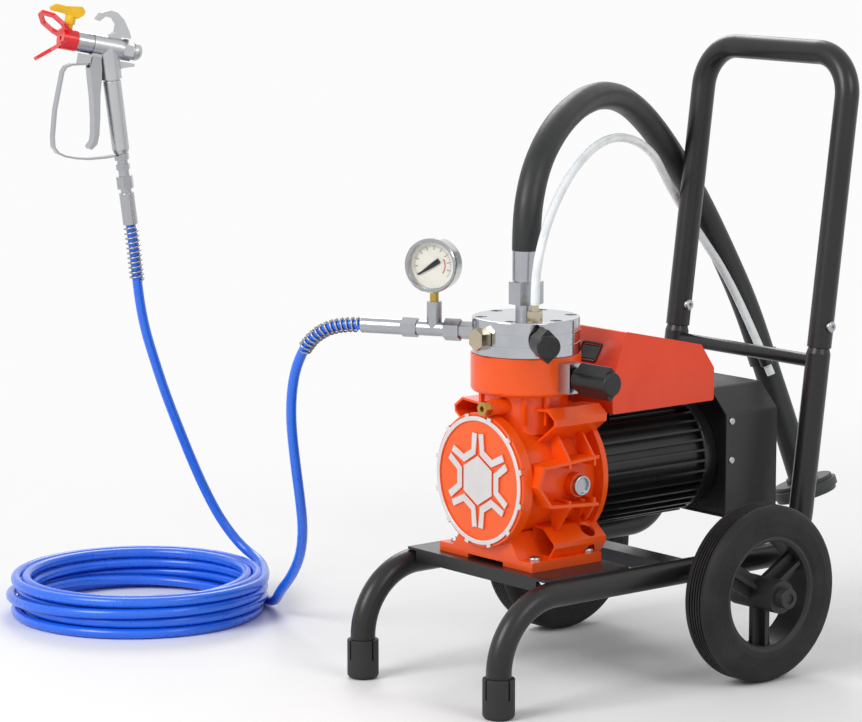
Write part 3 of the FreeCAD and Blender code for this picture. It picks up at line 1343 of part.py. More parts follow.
def control_box():
    """Sloped electrical box on the motor, narrower at its top, with a rocker switch."""
    blank = put(slab("control_blank", profile("control", "3"), "2 * box_half_width"), ("-box_half_width", "0", "0"), ALONG_X)
    inside = put(
        slab("control_inside", profile("control_cavity"), "2 * (box_half_width - 15)"),
        ("-(box_half_width - 15)", "0", "0"), ALONG_X)
    right_taper = box(
        "right_taper", "60", "240", "90", ("box_half_width", "-170", "box_taper_height"),
        Rotation(Vector(0, 1, 0), -v.box_taper))
    left_taper = box(
        "left_taper", "60", "240", "90",
        ("-box_half_width - 60 * cos(box_taper)", "-170", "box_taper_height - 60 * sin(box_taper)"),
        Rotation(Vector(0, 1, 0), v.box_taper))
    face = Rotation(Vector(1, 0, 0), v.rocker_tilt)
    half = "(rocker_height / 2 + rocker_play)"
    window = box(
        "rocker_window", "rocker_width + 2 * rocker_gap", "rocker_height + 2 * rocker_play", "20",
        ("rocker_x - rocker_width / 2 - rocker_gap",
         "rocker_y - " + half + " * cos(rocker_tilt) + 14 * sin(rocker_tilt)",
         "rocker_z - " + half + " * sin(rocker_tilt) - 14 * cos(rocker_tilt)"), face)
    plate = box("box_base", "2 * box_half_width - 8", "140", "3", ("-box_half_width + 4", "-125", "box_bottom"))
    cheeks = [
        box(
            "rocker_cheek_%d" % index, "cheek_width", "12", "cheek_depth",
            (x, "rocker_y - 6 * cos(rocker_tilt) + (cheek_depth + 1) * sin(rocker_tilt)",
             "rocker_z - 6 * sin(rocker_tilt) - (cheek_depth + 1) * cos(rocker_tilt)"), face)
        for index, x in enumerate((
            "rocker_x + rocker_width / 2", "rocker_x - rocker_width / 2 - cheek_width"))]
    pin_hole = cylinder(
        "rocker_pin_hole", "rocker_pin + running_gap", "rocker_width + 2 * cheek_width",
        ("rocker_x - rocker_width / 2 - cheek_width", "rocker_y + rocker_sink * sin(rocker_tilt)",
         "rocker_z - rocker_sink * cos(rocker_tilt)"), TO_X)
    body = fuse("control_walls", [cut("control_hollow", blank, [inside]), plate, *cheeks])
    node("control_box", cut("control_cut", body, [right_taper, left_taper, window, pin_hole]))
    rocker = box(
        "rocker_block", "rocker_width", "rocker_height", "rocker_depth",
        ("-rocker_width / 2", "-rocker_height / 2", "-rocker_depth"))
    barrel = cylinder(
        "rocker_axle", "rocker_barrel", "rocker_width", ("-rocker_width / 2", "0", "-rocker_sink"), TO_X)
    pin_bar = cylinder(
        "rocker_pin_bar", "rocker_pin", "rocker_width + 2 * cheek_width - 2",
        ("-rocker_width / 2 - cheek_width + 1", "0", "-rocker_sink"), TO_X)
    node("switch_rocker", fuse("rocker", [rocker, barrel, pin_bar]), ("rocker_x", "rocker_y", "rocker_z"), face)


motor()
fan_cover()
control_box()

# Hoses, coil and springs

SUCTION_ROUTE = (
    (0, -199, 484), (0, -199, 508), (-3.3, -192, 543), (-13, -172, 578), (-30, -136, 608), (-54, -88, 629),
    (-80, -34, 640), (-104, 19, 638), (-124, 67, 624), (-140, 116, 594), (-152, 165, 550), (-154, 206, 498),
    (-139, 233, 436), (-118, 255, 368), (-98, 269, 297), (-79, 285, 225), (-64, 298, 163))
RETURN_ROUTE = (
    (44, -224, 430), (44, -224, 455), (42, -216, 488), (32, -193, 525), (15, -151, 564), (-9, -98, 589),
    (-37, -38, 598), (-66, 24, 588), (-92, 75, 567), (-118, 113, 543), (-138, 147, 516), (-146, 178, 486),
    (-139, 199, 455), (-119, 218, 414), (-95, 238, 352), (-74, 255, 290))
TO_COIL_ROUTE = (
    (-169.3, -296.8, 391), (-195.3, -311.8, 391), (-226, -324, 374), (-250, -326, 345), (-268, -322, 310),
    (-281, -314, 268), (-290, -302, 222), (-301, -287, 176), (-314, -272, 132), (-336, -259, 94),
    (-367, -249, 62), (-408, -237, 34), (-457, -209.1, 6.2), (-488.3, -198.7, 6.2))
TO_GUN_ROUTE = (
    (-483.3, -201, 44.6), (-514.3, -182.6, 44.6), (-552, -186, 57), (-577, -201, 90), (-587, -220, 133),
    (-590, -238, 174), (-592, -255, 215), (-593, -272, 256), (-592, -288, 298), (-591, -303, 340),
    (-587, -314, 383), (-580.8, -322.4, 425.7), (-582.1, -327.6, 469.4))
BEND_SHARE = 0.45


def route_wire(points):
    """Straight runs joined by tangent arcs; also the straight and curved pieces for a tube."""
    corners = [Vector(*point) for point in points]
    edges = []
    radii = []
    here = corners[0]
    for before, corner, after in zip(corners, corners[1:], corners[2:]):
        into = (corner - before).normalize()
        out = (after - corner).normalize()
        trim = BEND_SHARE * min((corner - before).Length, (after - corner).Length)
        turn = into.getAngle(out)
        radius = trim / math.tan(turn / 2)
        start = corner - into * trim
        end = corner + out * trim
        middle_way = (out - into).normalize()
        centre = corner + middle_way * (radius / math.cos(turn / 2))
        edges.append(Part.LineSegment(here, start).toShape())
        edges.append(Part.Arc(start, centre - middle_way * radius, end).toShape())
        radii.append(radius)
        here = end
    edges.append(Part.LineSegment(here, corners[-1]).toShape())
    return Part.Wire(edges), radii


def tube_on(wire, radius):
    """A round bar along a wire that starts in a straight run."""
    first = wire.Edges[0]
    start = first.valueAt(first.FirstParameter)
    direction = first.tangentAt(first.FirstParameter)
    section = Part.Wire([Part.Circle(start, direction, radius).toShape()])
    return wire.makePipeShell([section], True, False)


def formed(label, shape):
    """A sub-part whose shape follows a free route; placed after its shape is set."""
    item = doc.addObject("Part::Feature", label)
    item.Shape = shape
    return node(label, item)


def hose(label, points, radius):
    wire, radii = route_wire(points)
    tube = tube_on(wire, radius)
    expected = math.pi * radius ** 2 * wire.Length
    print(label, "length", round(wire.Length, 1), "smallest bend", round(min(radii), 1),
          "volume ratio", round(tube.Volume / expected, 4))
    formed(label, tube)
    return wire


def biarc(start, start_way, end, end_way):
    """Two tangent arcs between two points with given directions."""
    step = end - start
    ways = start_way + end_way
    rest = 2 * (1 - start_way.dot(end_way))
    along_ways = step.dot(ways)
    reach = (-along_ways + math.sqrt(along_ways ** 2 + rest * step.dot(step))) / rest
    first_apex = start + start_way * reach
    last_apex = end - end_way * reach
    joint = (first_apex + last_apex) * 0.5
    edges = []
    for near, apex, far, way in ((start, first_apex, joint, start_way), (joint, last_apex, end, None)):
        chord_middle = (near + far) * 0.5
        half = (apex - near).getAngle(far - near)
        bulge = (apex - chord_middle) * (math.tan(half / 2) / math.tan(half))
        edges.append(Part.Arc(near, chord_middle + bulge, far).toShape())
    return edges


def winding(label, samples, radius, lead):
    """A bar wound through sampled points with their directions, straight at both ends."""
    first, first_way = samples[0]
    last, last_way = samples[-1]
    edges = [Part.LineSegment(first - first_way * lead, first).toShape()]
    for (start, start_way), (end, end_way) in zip(samples, samples[1:]):
        edges += biarc(start, start_way, end, end_way)
    edges.append(Part.LineSegment(last, last + last_way * lead).toShape())
    wire = Part.Wire(edges)
    solid = tube_on(wire, radius)
    print(label, "length", round(wire.Length, 1), "volume ratio",
          round(solid.Volume / (math.pi * radius ** 2 * wire.Length), 4))
    formed(label, solid)
    return wire


def coil_place(turns):
    """Centre of the wound hose after a number of turns: four layers, in and out."""
    quarter = v.coil_turns / 4
    leg = min(int(turns / quarter), 3)
    inward = turns - leg * quarter if leg % 2 == 0 else (leg + 1) * quarter - turns
    level = 0.0
    for climb in (1, 2, 3):
        rise = min(max((turns - climb * quarter + 0.25) / 0.5, 0.0), 1.0)
        level += rise * rise * (3 - 2 * rise)
    radius = v.coil_radius - v.coil_pitch * inward
    angle = math.radians(v.coil_start + 360 * turns)
    return Vector(
        v.coil_x + radius * math.cos(angle), v.coil_y + radius * math.sin(angle),
        v.coil_floor + v.coil_layer * level)


def coil():
    steps = int(round(v.coil_turns * 4))
    samples = []
    for step in range(steps + 1):
        turns = v.coil_turns * step / steps
        ahead = coil_place(min(turns + 1e-4, v.coil_turns))
        behind = coil_place(max(turns - 1e-4, 0.0))
        way = (ahead - behind).normalize()
        if step in (0, steps):
            way.z = 0
            way.normalize()
        samples.append((coil_place(turns), way))
    wire = winding("hose_coil", samples, v.blue_radius, v.coil_lead)
    print("coil start", samples[0], "end", samples[-1], "ends", wire.Vertexes[0].Point, wire.Vertexes[-1].Point)
    points = wire.discretize(Distance=4.0)
    far = int(math.pi * 100 / 4.0)
    gap = min(
        points[a].distanceToPoint(points[b])
        for a in range(0, len(points), 2) for b in range(a + far, len(points), 1))
    print("coil least gap to itself", round(gap - 2 * v.blue_radius, 2))


def spring(label, wire, start, length, turns, spacing):
    """A spring wound round a hose route from a distance along it."""
    def frame_at(distance):
        left = distance
        for edge in wire.Edges:
            if left <= edge.Length or edge is wire.Edges[-1]:
                parameter = edge.getParameterByLength(max(min(left, edge.Length), 0.0))
                return edge.valueAt(parameter), edge.tangentAt(parameter).normalize()
            left -= edge.Length
        return None

    def place(turn):
        centre, way = frame_at(start + length * turn / turns)
        side = way.cross(Vector(1, 0, 0)).normalize()
        other = way.cross(side)
        angle = 2 * math.pi * turn
        return centre + side * (spacing * math.cos(angle)) + other * (spacing * math.sin(angle))

    steps = int(turns * 4)
    samples = []
    for step in range(steps + 1):
        turn = turns * step / steps
        way = (place(min(turn + 1e-3, turns)) - place(max(turn - 1e-3, 0))).normalize()
        samples.append((place(turn), way))
    winding(label, samples, v.guard_wire, v.guard_wire * 2)


def hoses():
    hose("suction_hose", SUCTION_ROUTE, v.suction_hose_radius)
    hose("return_tube", RETURN_ROUTE, v.return_tube_radius)
    pump_side = hose("hose_to_coil", TO_COIL_ROUTE, v.blue_radius)
    gun_side = hose("hose_to_gun", TO_GUN_ROUTE, v.blue_radius)
    coil()
    spring("hose_pump_guard", pump_side, 3.0, 84.0, 9, v.guard_radius)
    spring("hose_gun_guard", gun_side, gun_side.Length - 70.0, 67.0, 8, v.guard_radius)
    sleeve = turned("pump_ferrule", [
        ("0", "tee_end"), ("ferrule_radius", "tee_end", "1"), ("ferrule_radius", "pump_ferrule_end", "1"),
        ("0", "pump_ferrule_end")])
    node("hose_pump_ferrule", sleeve, HEAD_SIDE, heading(v.outlet_heading))


def suction_end():
    """Clip that holds both tubes together and the strainer at the hose's end."""
    last = Vector(*SUCTION_ROUTE[-1])
    way = (last - Vector(*SUCTION_ROUTE[-2])).normalize()
    strainer = turned("strainer_body", [
        ("0", "0"),
        ("suction_hose_radius + 3", "0", "1"),
        ("suction_hose_radius + 3", "6"),
        ("36", "6", "2"),
        ("36", "11"),
        ("40", "11", "1"),
        ("40", "20"),
        ("37", "20"),
        ("37", "26", "2"),
        ("0", "26")])
    node("suction_strainer", strainer, ("%g" % last.x, "%g" % last.y, "%g" % last.z), along(way))
    hose_way = (Vector(*SUCTION_ROUTE[14]) - Vector(*SUCTION_ROUTE[13])).normalize()
    tube_way = (Vector(*RETURN_ROUTE[15]) - Vector(*RETURN_ROUTE[14])).normalize()
    hose_at = Vector(*SUCTION_ROUTE[13]) + hose_way * 64
    tube_at = Vector(*RETURN_ROUTE[14]) + tube_way * 48
    rings = []
    for name, place, way, radius in (
            ("hose", hose_at, hose_way, "suction_hose_radius"), ("tube", tube_at, tube_way, "return_tube_radius")):
        ring = turned(name + "_clip_ring", [
            (radius, "-7"), (radius + " + 2.4", "-7"), (radius + " + 2.4", "7"), (radius, "7")])
        rings.append(put(ring, ("%.4f" % place.x, "%.4f" % place.y, "%.4f" % place.z), along(way)))
    bridge_way = tube_at - hose_at
    gap = bridge_way.Length
    bridge_way.normalize()
    start = hose_at + bridge_way * (v.suction_hose_radius + 1.2)
    bridge = cylinder(
        "clip_bridge", "4", "%.4f" % (gap - v.suction_hose_radius - v.return_tube_radius - 2.4),
        ("%.4f" % start.x, "%.4f" % start.y, "%.4f" % start.z), along(bridge_way))
    node("hose_clip", fuse("clip", [*rings, bridge]))


hoses()
suction_end()

# Spray gun, drawn with X along its barrel and Z up

GUN = ("gun_x", "gun_y", "gun_z")
GUN_TURN = Rotation(Vector(0, 0, 1), v.gun_heading) * Rotation(Vector(0, 1, 0), -v.gun_tilt)
DOWN_HANDLE = Rotation(Vector(0, 1, 0), 180 + v.handle_slant)
WING_TURN = Rotation(Vector(1, 0, 0), v.wing_roll)


def gun_plate(name, corners, thickness):
    """A plate in the gun's upright plane, centred on it."""
    item = slab(name, corners, thickness)
    return put(item, ("0", "(%s) / 2" % thickness, "0"), TO_FRONT)


def spray_gun():
    """Body with its hook, nose and handle collar; the other gun pieces seat on it."""
    barrel = cylinder("gun_barrel", "body_radius", "body_front - body_rear", ("body_rear", "0", "0"), TO_X)
    nose = cylinder("gun_nose", "nose_radius", "nose_end - body_front", ("body_front", "0", "0"), TO_X)
    hook = gun_plate("hook", profile("gun_hook", "1.2"), "hook_width")
    collar = cylinder("handle_collar", "collar_radius", "grip_start", HERE, DOWN_HANDLE)
    fin = gun_plate("gun_fin_plate", profile("gun_fin", "1"), "6")
    lug = box(
        "trigger_lug", "10", "trigger_width - 2 * trigger_wall - 0.8", "18",
        ("pivot_x - 5", "-(trigger_width - 2 * trigger_wall - 0.8) / 2", "pivot_z - 5"))
    strap_lug = gun_plate(
        "strap_lug", [("16", "-10"), ("16", "-22.13"), ("22", "-23.4"), ("33", "-25.71"),
        ("33", "-13.6"), ("19.5", "-13.6"), ("19.5", "-10")], "strap_width")
    lug_hole = cylinder(
        "lug_pin_hole", "pin_radius + running_gap", "trigger_width", ("pivot_x", "trigger_width / 2", "pivot_z"), TO_FRONT)
    cap_space = cylinder("cap_space", "cap_space_radius", "40", ("body_rear", "0", "0"), TO_LEFT)
    solid = fuse("gun_body_solid", [barrel, nose, hook, collar, fin, lug, strap_lug])
    node("gun_body", cut("gun_body_cut", solid, [lug_hole, cap_space]), GUN, GUN_TURN)

    nut = turned("guard_nut_ring", [
        ("nose_radius", "body_front"),
        ("guard_nut_radius", "body_front", "1"),
        ("guard_nut_radius", "nose_end", "1"),
        ("nose_radius", "nose_end")])
    node("guard_nut", nut, GUN, GUN_TURN * TO_X)

    cap = turned("rear_cap_dome", [
        ("0", "-body_rear"), ("11.4", "-body_rear"), ("11.4", "-body_rear + 4"), ("10.6", "-body_rear + 4"),
        ("10.6", "-body_rear + 16"), ("9.8", "-body_rear + 16"), ("9.8", "-body_rear + 18"),
        ("10.8", "-body_rear + 18", "0.5"), ("10.8", "-body_rear + 29", "8"), ("0", "-body_rear + 29")])
    flats = hexagon("rear_cap_hexagon", "12.7", "12", ("0", "0", "-body_rear + 4"))
    node("gun_rear_cap", fuse("rear_cap", [cap, flats]), GUN, GUN_TURN * TO_LEFT)

    grip = turned("grip_bar", [
        ("0", "grip_start"),
        ("grip_radius - 1.5", "grip_start"),
        ("grip_radius - 1.5", "grip_start + 2"),
        ("grip_radius", "grip_start + 2", "0.8"),
        ("grip_radius - 0.5", "grip_end - 5"),
        ("grip_radius - 2.5", "grip_end"),
        ("0", "grip_end")])
    node("gun_handle", grip, GUN, GUN_TURN * DOWN_HANDLE)

    swivel = turned("swivel_bar", [
        ("0", "grip_end"),
        ("6.5", "grip_end"),
        ("6.5", "swivel_end"),
        ("ferrule_radius", "swivel_end", "1"),
        ("ferrule_radius", "gun_ferrule_end", "1"),
        ("0", "gun_ferrule_end")])
    nuts = [
        hexagon("swivel_nut_%d" % index, radius, length, ("0", "0", start))
        for index, (radius, length, start) in enumerate((
            ("9.4", "7", "grip_end + 1"), ("8.8", "7", "grip_end + 13"), ("10.6", "15", "grip_end + 28")))]
    node("hose_gun_ferrule", fuse("swivel", [swivel, *nuts]), GUN, GUN_TURN * DOWN_HANDLE)


def tip():
    """Red guard with two looped wings, and the yellow reversible tip across it."""
    barrel = cylinder("tip_barrel", "tip_guard_radius", "tip_guard_end - nose_end", ("nose_end", "0", "0"), TO_X)
    wings = []
    for side, lean, start in (("upper", -32.0, "3.5"), ("lower", 37.0, "-7")):
        turn = WING_TURN * Rotation(Vector(0, 1, 0), lean)
        blade = slab(side + "_wing", profile("tip_wing", "3"), "wing_thickness")
        window = slab(side + "_window", profile("tip_wing_window", "2"), "wing_thickness")
        wings.append(put(cut(side + "_loop", blade, [window]), ("wing_start", "0", start), turn))
    key_bore = cylinder(
        "key_bore", "tip_key_radius + running_gap", "tip_key_top - tip_key_bottom + 2",
        ("tip_key_x", "0", "tip_key_bottom - 0.3"))
    spray_bore = cylinder("spray_bore", "3", "tip_guard_end - nose_end", ("nose_end", "0", "0"), TO_X)
    node("tip_guard", cut("tip_guard_cut", fuse("tip_guard_blank", [barrel, *wings]), [key_bore, spray_bore]), GUN, GUN_TURN)

    stem = cylinder("key_stem", "tip_key_radius", "tip_key_top - tip_key_bottom", ("tip_key_x", "0", "tip_key_bottom"))
    shoulder = cylinder("key_shoulder", "tip_key_radius + 2", "10", ("tip_key_x", "0", "tip_guard_radius + 5"))
    flag = gun_plate("key_flag", profile("tip_flag", "1.5"), "tip_key_thickness")
    node("tip_key", fuse("key", [stem, shoulder, flag]), GUN, GUN_TURN)


def trigger():
    """Folded channel trigger on a pin, and the strap that guards it."""
    outer = gun_plate("trigger_outer", profile("trigger", "1"), "trigger_width")
    inner = gun_plate("trigger_inner", profile("trigger_channel"), "trigger_width - 2 * trigger_wall")
    pin_bar = cylinder("trigger_pin", "pin_radius", "trigger_width", ("pivot_x", "trigger_width / 2", "pivot_z"), TO_FRONT)
    node("gun_trigger", fuse("trigger_body", [cut("trigger_channel", outer, [inner]), pin_bar]), GUN, GUN_TURN)
    strap = gun_plate("strap", profile("guard_strap"), "strap_width")
    node("trigger_guard", group("strap_placed", [strap]), GUN, GUN_TURN)


spray_gun()
tip()
trigger()

# Check every sub-part and write it

doc.recompute()
os.makedirs("parts", exist_ok=True)
for item in doc.Objects:
    if "Invalid" in item.State or "Error" in item.State:
        raise RuntimeError("%s is %s" % (item.Name, item.State))
total = 0.0
for item in nodes:
    shape = item.Shape
    if shape.isNull() or not shape.isValid() or not shape.Solids:
        raise RuntimeError("%s has no valid solid" % item.Label)
    shape.exportStep("parts/%s.step" % item.Label)
    total += shape.Volume
print(len(nodes), "sub-parts,", round(total / 1000), "cubic centimetres")
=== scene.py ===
import math

import bmesh
import bpy
from mathutils import Matrix, Vector


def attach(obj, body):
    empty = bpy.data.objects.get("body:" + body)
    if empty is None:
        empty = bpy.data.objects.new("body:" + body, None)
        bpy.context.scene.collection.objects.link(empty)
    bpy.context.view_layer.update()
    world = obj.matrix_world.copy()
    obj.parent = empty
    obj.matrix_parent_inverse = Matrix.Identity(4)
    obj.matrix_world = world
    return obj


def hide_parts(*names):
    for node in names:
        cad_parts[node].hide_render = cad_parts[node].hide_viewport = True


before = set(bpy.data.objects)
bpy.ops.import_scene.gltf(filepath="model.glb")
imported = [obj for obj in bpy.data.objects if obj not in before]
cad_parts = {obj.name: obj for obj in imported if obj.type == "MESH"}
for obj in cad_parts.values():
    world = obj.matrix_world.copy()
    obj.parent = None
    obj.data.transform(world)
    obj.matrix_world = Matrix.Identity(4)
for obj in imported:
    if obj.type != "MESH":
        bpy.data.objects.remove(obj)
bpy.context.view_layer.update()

# The floor under the middle of the axle, in millimetres of the frame
CART_X = 205.1
CART_Y = 123.35


def at(x, y, z):
    """A point of the cart, in millimetres from the floor under its axle, as a place in the frame."""
    return Vector((x + CART_X, y + CART_Y, z)) / 1000


def rgb(red, green, blue):
    """A screen colour from 0 to 255 as the linear colour that a shader takes."""
    def linear(level):
        level = level / 255
        return level / 12.92 if level <= 0.04045 else ((level + 0.055) / 1.055) ** 2.4
    return (linear(red), linear(green), linear(blue), 1.0)


# Finishes


class Wire:
    """A socket of a finish. Arithmetic on it adds Math nodes."""

    def __init__(self, finish, socket):
        self.finish = finish
        self.socket = socket

    def maths(self, operation, *values):
        return self.finish.node("ShaderNodeMath", {"operation": operation}, dict(enumerate(values)))

    def __add__(self, other):
        return self.maths("ADD", self, other)

    __radd__ = __add__

    def __sub__(self, other):
        return self.maths("SUBTRACT", self, other)

    def __rsub__(self, other):
        return self.maths("SUBTRACT", other, self)

    def __mul__(self, other):
        return self.maths("MULTIPLY", self, other)

    __rmul__ = __mul__

    def __truediv__(self, other):
        return self.maths("DIVIDE", self, other)

    def __rtruediv__(self, other):
        return self.maths("DIVIDE", other, self)

    def over(self, edge, blur):
        """0 below the edge and 1 above it, over a blurred width."""
        return self.finish.node(
            "ShaderNodeMath", {"operation": "DIVIDE", "use_clamp": True}, {0: self - edge + blur / 2, 1: blur})

    def sine(self):
        return self.maths("SINE", self)

    def power(self, other):
        return self.maths("POWER", self, other)


class Finish:
    """One procedural material on Object coordinates."""

    def __init__(self, name, colour, roughness, metallic=0.0, coat=0.0, **plain):
        self.material = bpy.data.materials.new(name)
        self.material.use_nodes = True
        self.tree = self.material.node_tree
        self.shader = self.tree.nodes["Principled BSDF"]
        self.place = self.node("ShaderNodeTexCoord", output="Object")
        self.set("Base Color", colour)
        self.set("Roughness", roughness)
        self.set("Metallic", metallic)
        self.set("Coat Weight", coat)
        for socket, value in plain.items():
            self.set(socket.replace("_", " "), value)

    def node(self, kind, settings={}, sockets={}, output=0):
        made = self.tree.nodes.new(kind)
        for name, value in settings.items():
            if name == "stops":
                for stop, (place, colour) in zip(made.color_ramp.elements, value):
                    stop.position = place
                    stop.color = colour
            else:
                setattr(made, name, value)
        for socket, value in sockets.items():
            if isinstance(value, Wire):
                self.tree.links.new(value.socket, made.inputs[socket])
            else:
                made.inputs[socket].default_value = value
        return Wire(self, made.outputs[output])

    def set(self, socket, value):
        if isinstance(value, Wire):
            self.tree.links.new(value.socket, self.shader.inputs[socket])
        else:
            self.shader.inputs[socket].default_value = value

    def axes(self):
        split = self.node("ShaderNodeSeparateXYZ", sockets={0: self.place})
        outputs = split.socket.node.outputs
        return [Wire(self, outputs[index]) for index in range(3)]

    def noise(self, scale, detail=2.0, stretch=None):
        place = self.place
        if stretch:
            place = self.node("ShaderNodeMapping", sockets={"Vector": place, "Scale": stretch})
        return self.node("ShaderNodeTexNoise", sockets={"Vector": place, "Scale": scale, "Detail": detail})

    def cells(self, scale):
        return self.node("ShaderNodeTexVoronoi", sockets={"Vector": self.place, "Scale": scale})

    def mix(self, mask, first, second):
        return self.node(
            "ShaderNodeMix", {"data_type": "RGBA"}, {"Factor": mask, 6: first, 7: second}, output=2)

    def distance(self, centre, axis):
        """Distance from a line through a centre, along X, Y or Z."""
        flat = [1.0, 1.0, 1.0]
        flat["XYZ".index(axis)] = 0.0
        moved = self.node("ShaderNodeVectorMath", {"operation": "SUBTRACT"}, {0: self.place, 1: centre})
        level = self.node("ShaderNodeVectorMath", {"operation": "MULTIPLY"}, {0: moved, 1: flat})
        return self.node("ShaderNodeVectorMath", {"operation": "LENGTH"}, {0: level}, output="Value")

    def bump(self, height, depth, strength=1.0):
        self.set("Normal", self.node(
            "ShaderNodeBump", sockets={"Height": height, "Distance": depth, "Strength": strength}))

    def wear(self, clean, worn, scale=60.0, share=0.62, blur=0.2):
        """Base colour that changes in soft patches."""
        self.set("Base Color", self.mix(self.noise(scale, 4.0).over(share, blur), clean, worn))


def powder_coat(name, dark, light, grain, gloss=0.34):
    """Baked black coat with a faint orange-peel surface."""
    finish = Finish(name, dark, gloss, coat=0.12, Coat_Roughness=0.2, Specular_IOR_Level=0.36)
    finish.wear(dark, light, 14.0, 0.55, 0.4)
    finish.set("Roughness", finish.noise(35.0, 3.0) * 0.16 + (gloss - 0.08))
    finish.bump(finish.noise(grain, 2.0), 0.00006)
    return finish


def enamel(name, full, shade, grain=700.0):
    """Glossy orange enamel on a casting."""
    finish = Finish(name, full, 0.32, coat=0.25, Coat_Roughness=0.12, Specular_IOR_Level=0.36)
    finish.wear(full, shade, 22.0, 0.5, 0.5)
    finish.set("Roughness", finish.noise(60.0, 3.0) * 0.14 + 0.26)
    finish.bump(finish.noise(grain, 2.0), 0.00005)
    return finish


def plated(name, colour, gloss, streak=(1.0, 1.0, 1.0), scale=180.0, depth=0.00002):
    """Bright metal with fine turning or grinding marks."""
    finish = Finish(name, colour, gloss, metallic=1.0)
    marks = finish.noise(scale, 3.0, streak)
    finish.set("Roughness", marks * 0.14 + (gloss - 0.07))
    finish.set("Base Color", finish.mix(finish.noise(25.0, 2.0), colour, tuple(
        0.82 * level for level in colour[:3]) + (1.0,)))
    finish.bump(marks, depth)
    return finish


def moulded(name, colour, gloss, grain=900.0, depth=0.00006, coat=0.0):
    """Moulded plastic or rubber with a fine eroded grain."""
    finish = Finish(name, colour, gloss, coat=coat, Specular_IOR_Level=0.4)
    finish.wear(colour, tuple(1.25 * level + 0.004 for level in colour[:3]) + (1.0,), 40.0, 0.5, 0.5)
    finish.set("Roughness", finish.noise(80.0, 3.0) * 0.18 + (gloss - 0.09))
    finish.bump(finish.noise(grain, 2.0), depth)
    return finish


ORANGE = rgb(243, 88, 6)
ORANGE_SHADE = rgb(238, 78, 4)
STEEL = rgb(180, 182, 187)

frame_coat = powder_coat("frame_coat", rgb(24, 24, 25), rgb(32, 32, 33), 900.0)
motor_coat = powder_coat("motor_coat", rgb(20, 20, 21), rgb(30, 30, 31), 700.0, 0.3)
cover_coat = powder_coat("fan_cover_coat", rgb(44, 44, 45), rgb(52, 52, 53), 1400.0, 0.42)
pump_enamel = enamel("pump_enamel", ORANGE, ORANGE_SHADE)
box_enamel = enamel("control_box_enamel", rgb(240, 70, 24), rgb(230, 60, 18))
zinc = plated("zinc_plate", STEEL, 0.24)
chrome = plated("trigger_chrome", rgb(178, 180, 184), 0.1, scale=90.0)
cast_grey = plated("gun_cast_grey", rgb(194, 196, 198), 0.36, scale=600.0, depth=0.00008)
core = plated("core_steel", rgb(120, 120, 122), 0.5, scale=300.0)
spring_steel = plated("spring_steel", rgb(168, 168, 170), 0.3, scale=300.0)
brass = plated("brass", rgb(196, 156, 84), 0.26)
nickel = plated("warm_nickel", rgb(196, 184, 160), 0.2)
cap_rubber = moulded("foot_rubber", rgb(34, 34, 35), 0.6, 1200.0, 0.0001)
hub_plastic = moulded("hub_plastic", rgb(36, 36, 37), 0.5)
knob_plastic = moulded("knob_plastic", rgb(20, 20, 21), 0.34)
fan_plastic = moulded("fan_plastic", rgb(58, 58, 60), 0.55)
strainer_plastic = moulded("strainer_plastic", rgb(52, 53, 54), 0.5)
suction_rubber = moulded("suction_rubber", rgb(30, 31, 32), 0.42, 1500.0, 0.00008)
return_vinyl = moulded("return_vinyl", rgb(226, 230, 232), 0.3, 400.0, 0.00003, coat=0.3)
red_plastic = moulded("guard_red", rgb(214, 22, 30), 0.3, coat=0.3)
yellow_plastic = moulded("tip_yellow", rgb(232, 184, 18), 0.34, coat=0.2)
membrane = moulded("membrane_rubber", rgb(40, 40, 40), 0.6)


def hose_blue():
    finish = Finish("hose_blue", rgb(16, 104, 234), 0.28, coat=0.35, Coat_Roughness=0.15)
    finish.set("Base Color", finish.mix(finish.noise(30.0, 3.0), rgb(12, 98, 230), rgb(26, 114, 240)))
    finish.set("Roughness", finish.noise(90.0, 3.0) * 0.14 + 0.22)
    finish.bump(finish.noise(1300.0, 2.0), 0.00005)
    return finish


def tyre_tread():
    """Matte rubber with moulded rings on its side wall."""
    finish = Finish("tyre_rubber", rgb(30, 30, 31), 0.62, Specular_IOR_Level=0.3)
    radius = finish.distance(at(0, 0, 100), "X")
    rings = (radius * 2600.0).sine()
    dusty = finish.noise(30.0, 4.0).over(0.55, 0.3)
    finish.set("Base Color", finish.mix(dusty, rgb(26, 26, 27), rgb(40, 40, 41)))
    finish.set("Roughness", finish.noise(120.0, 3.0) * 0.2 + 0.52)
    band = radius.over(0.072, 0.002) * (1.0 - radius.over(0.086, 0.002))
    finish.bump(rings * band + finish.noise(900.0, 2.0) * 0.4, 0.00025)
    return finish


def head_turned():
    """Turned and polished steel with fine marks round its axis."""
    finish = Finish("head_steel", rgb(196, 198, 202), 0.12, metallic=1.0)
    height = finish.axes()[2]
    radius = finish.distance(at(0, -199, 0), "Z")
    marks = (height * 5200.0).sine() + (radius * 5200.0).sine()
    finish.set("Roughness", finish.noise(200.0, 3.0) * 0.08 + 0.07)
    finish.set("Base Color", finish.mix(finish.noise(30.0, 2.0), rgb(196, 198, 202), rgb(164, 167, 172)))
    finish.bump(marks, 0.00001)
    return finish


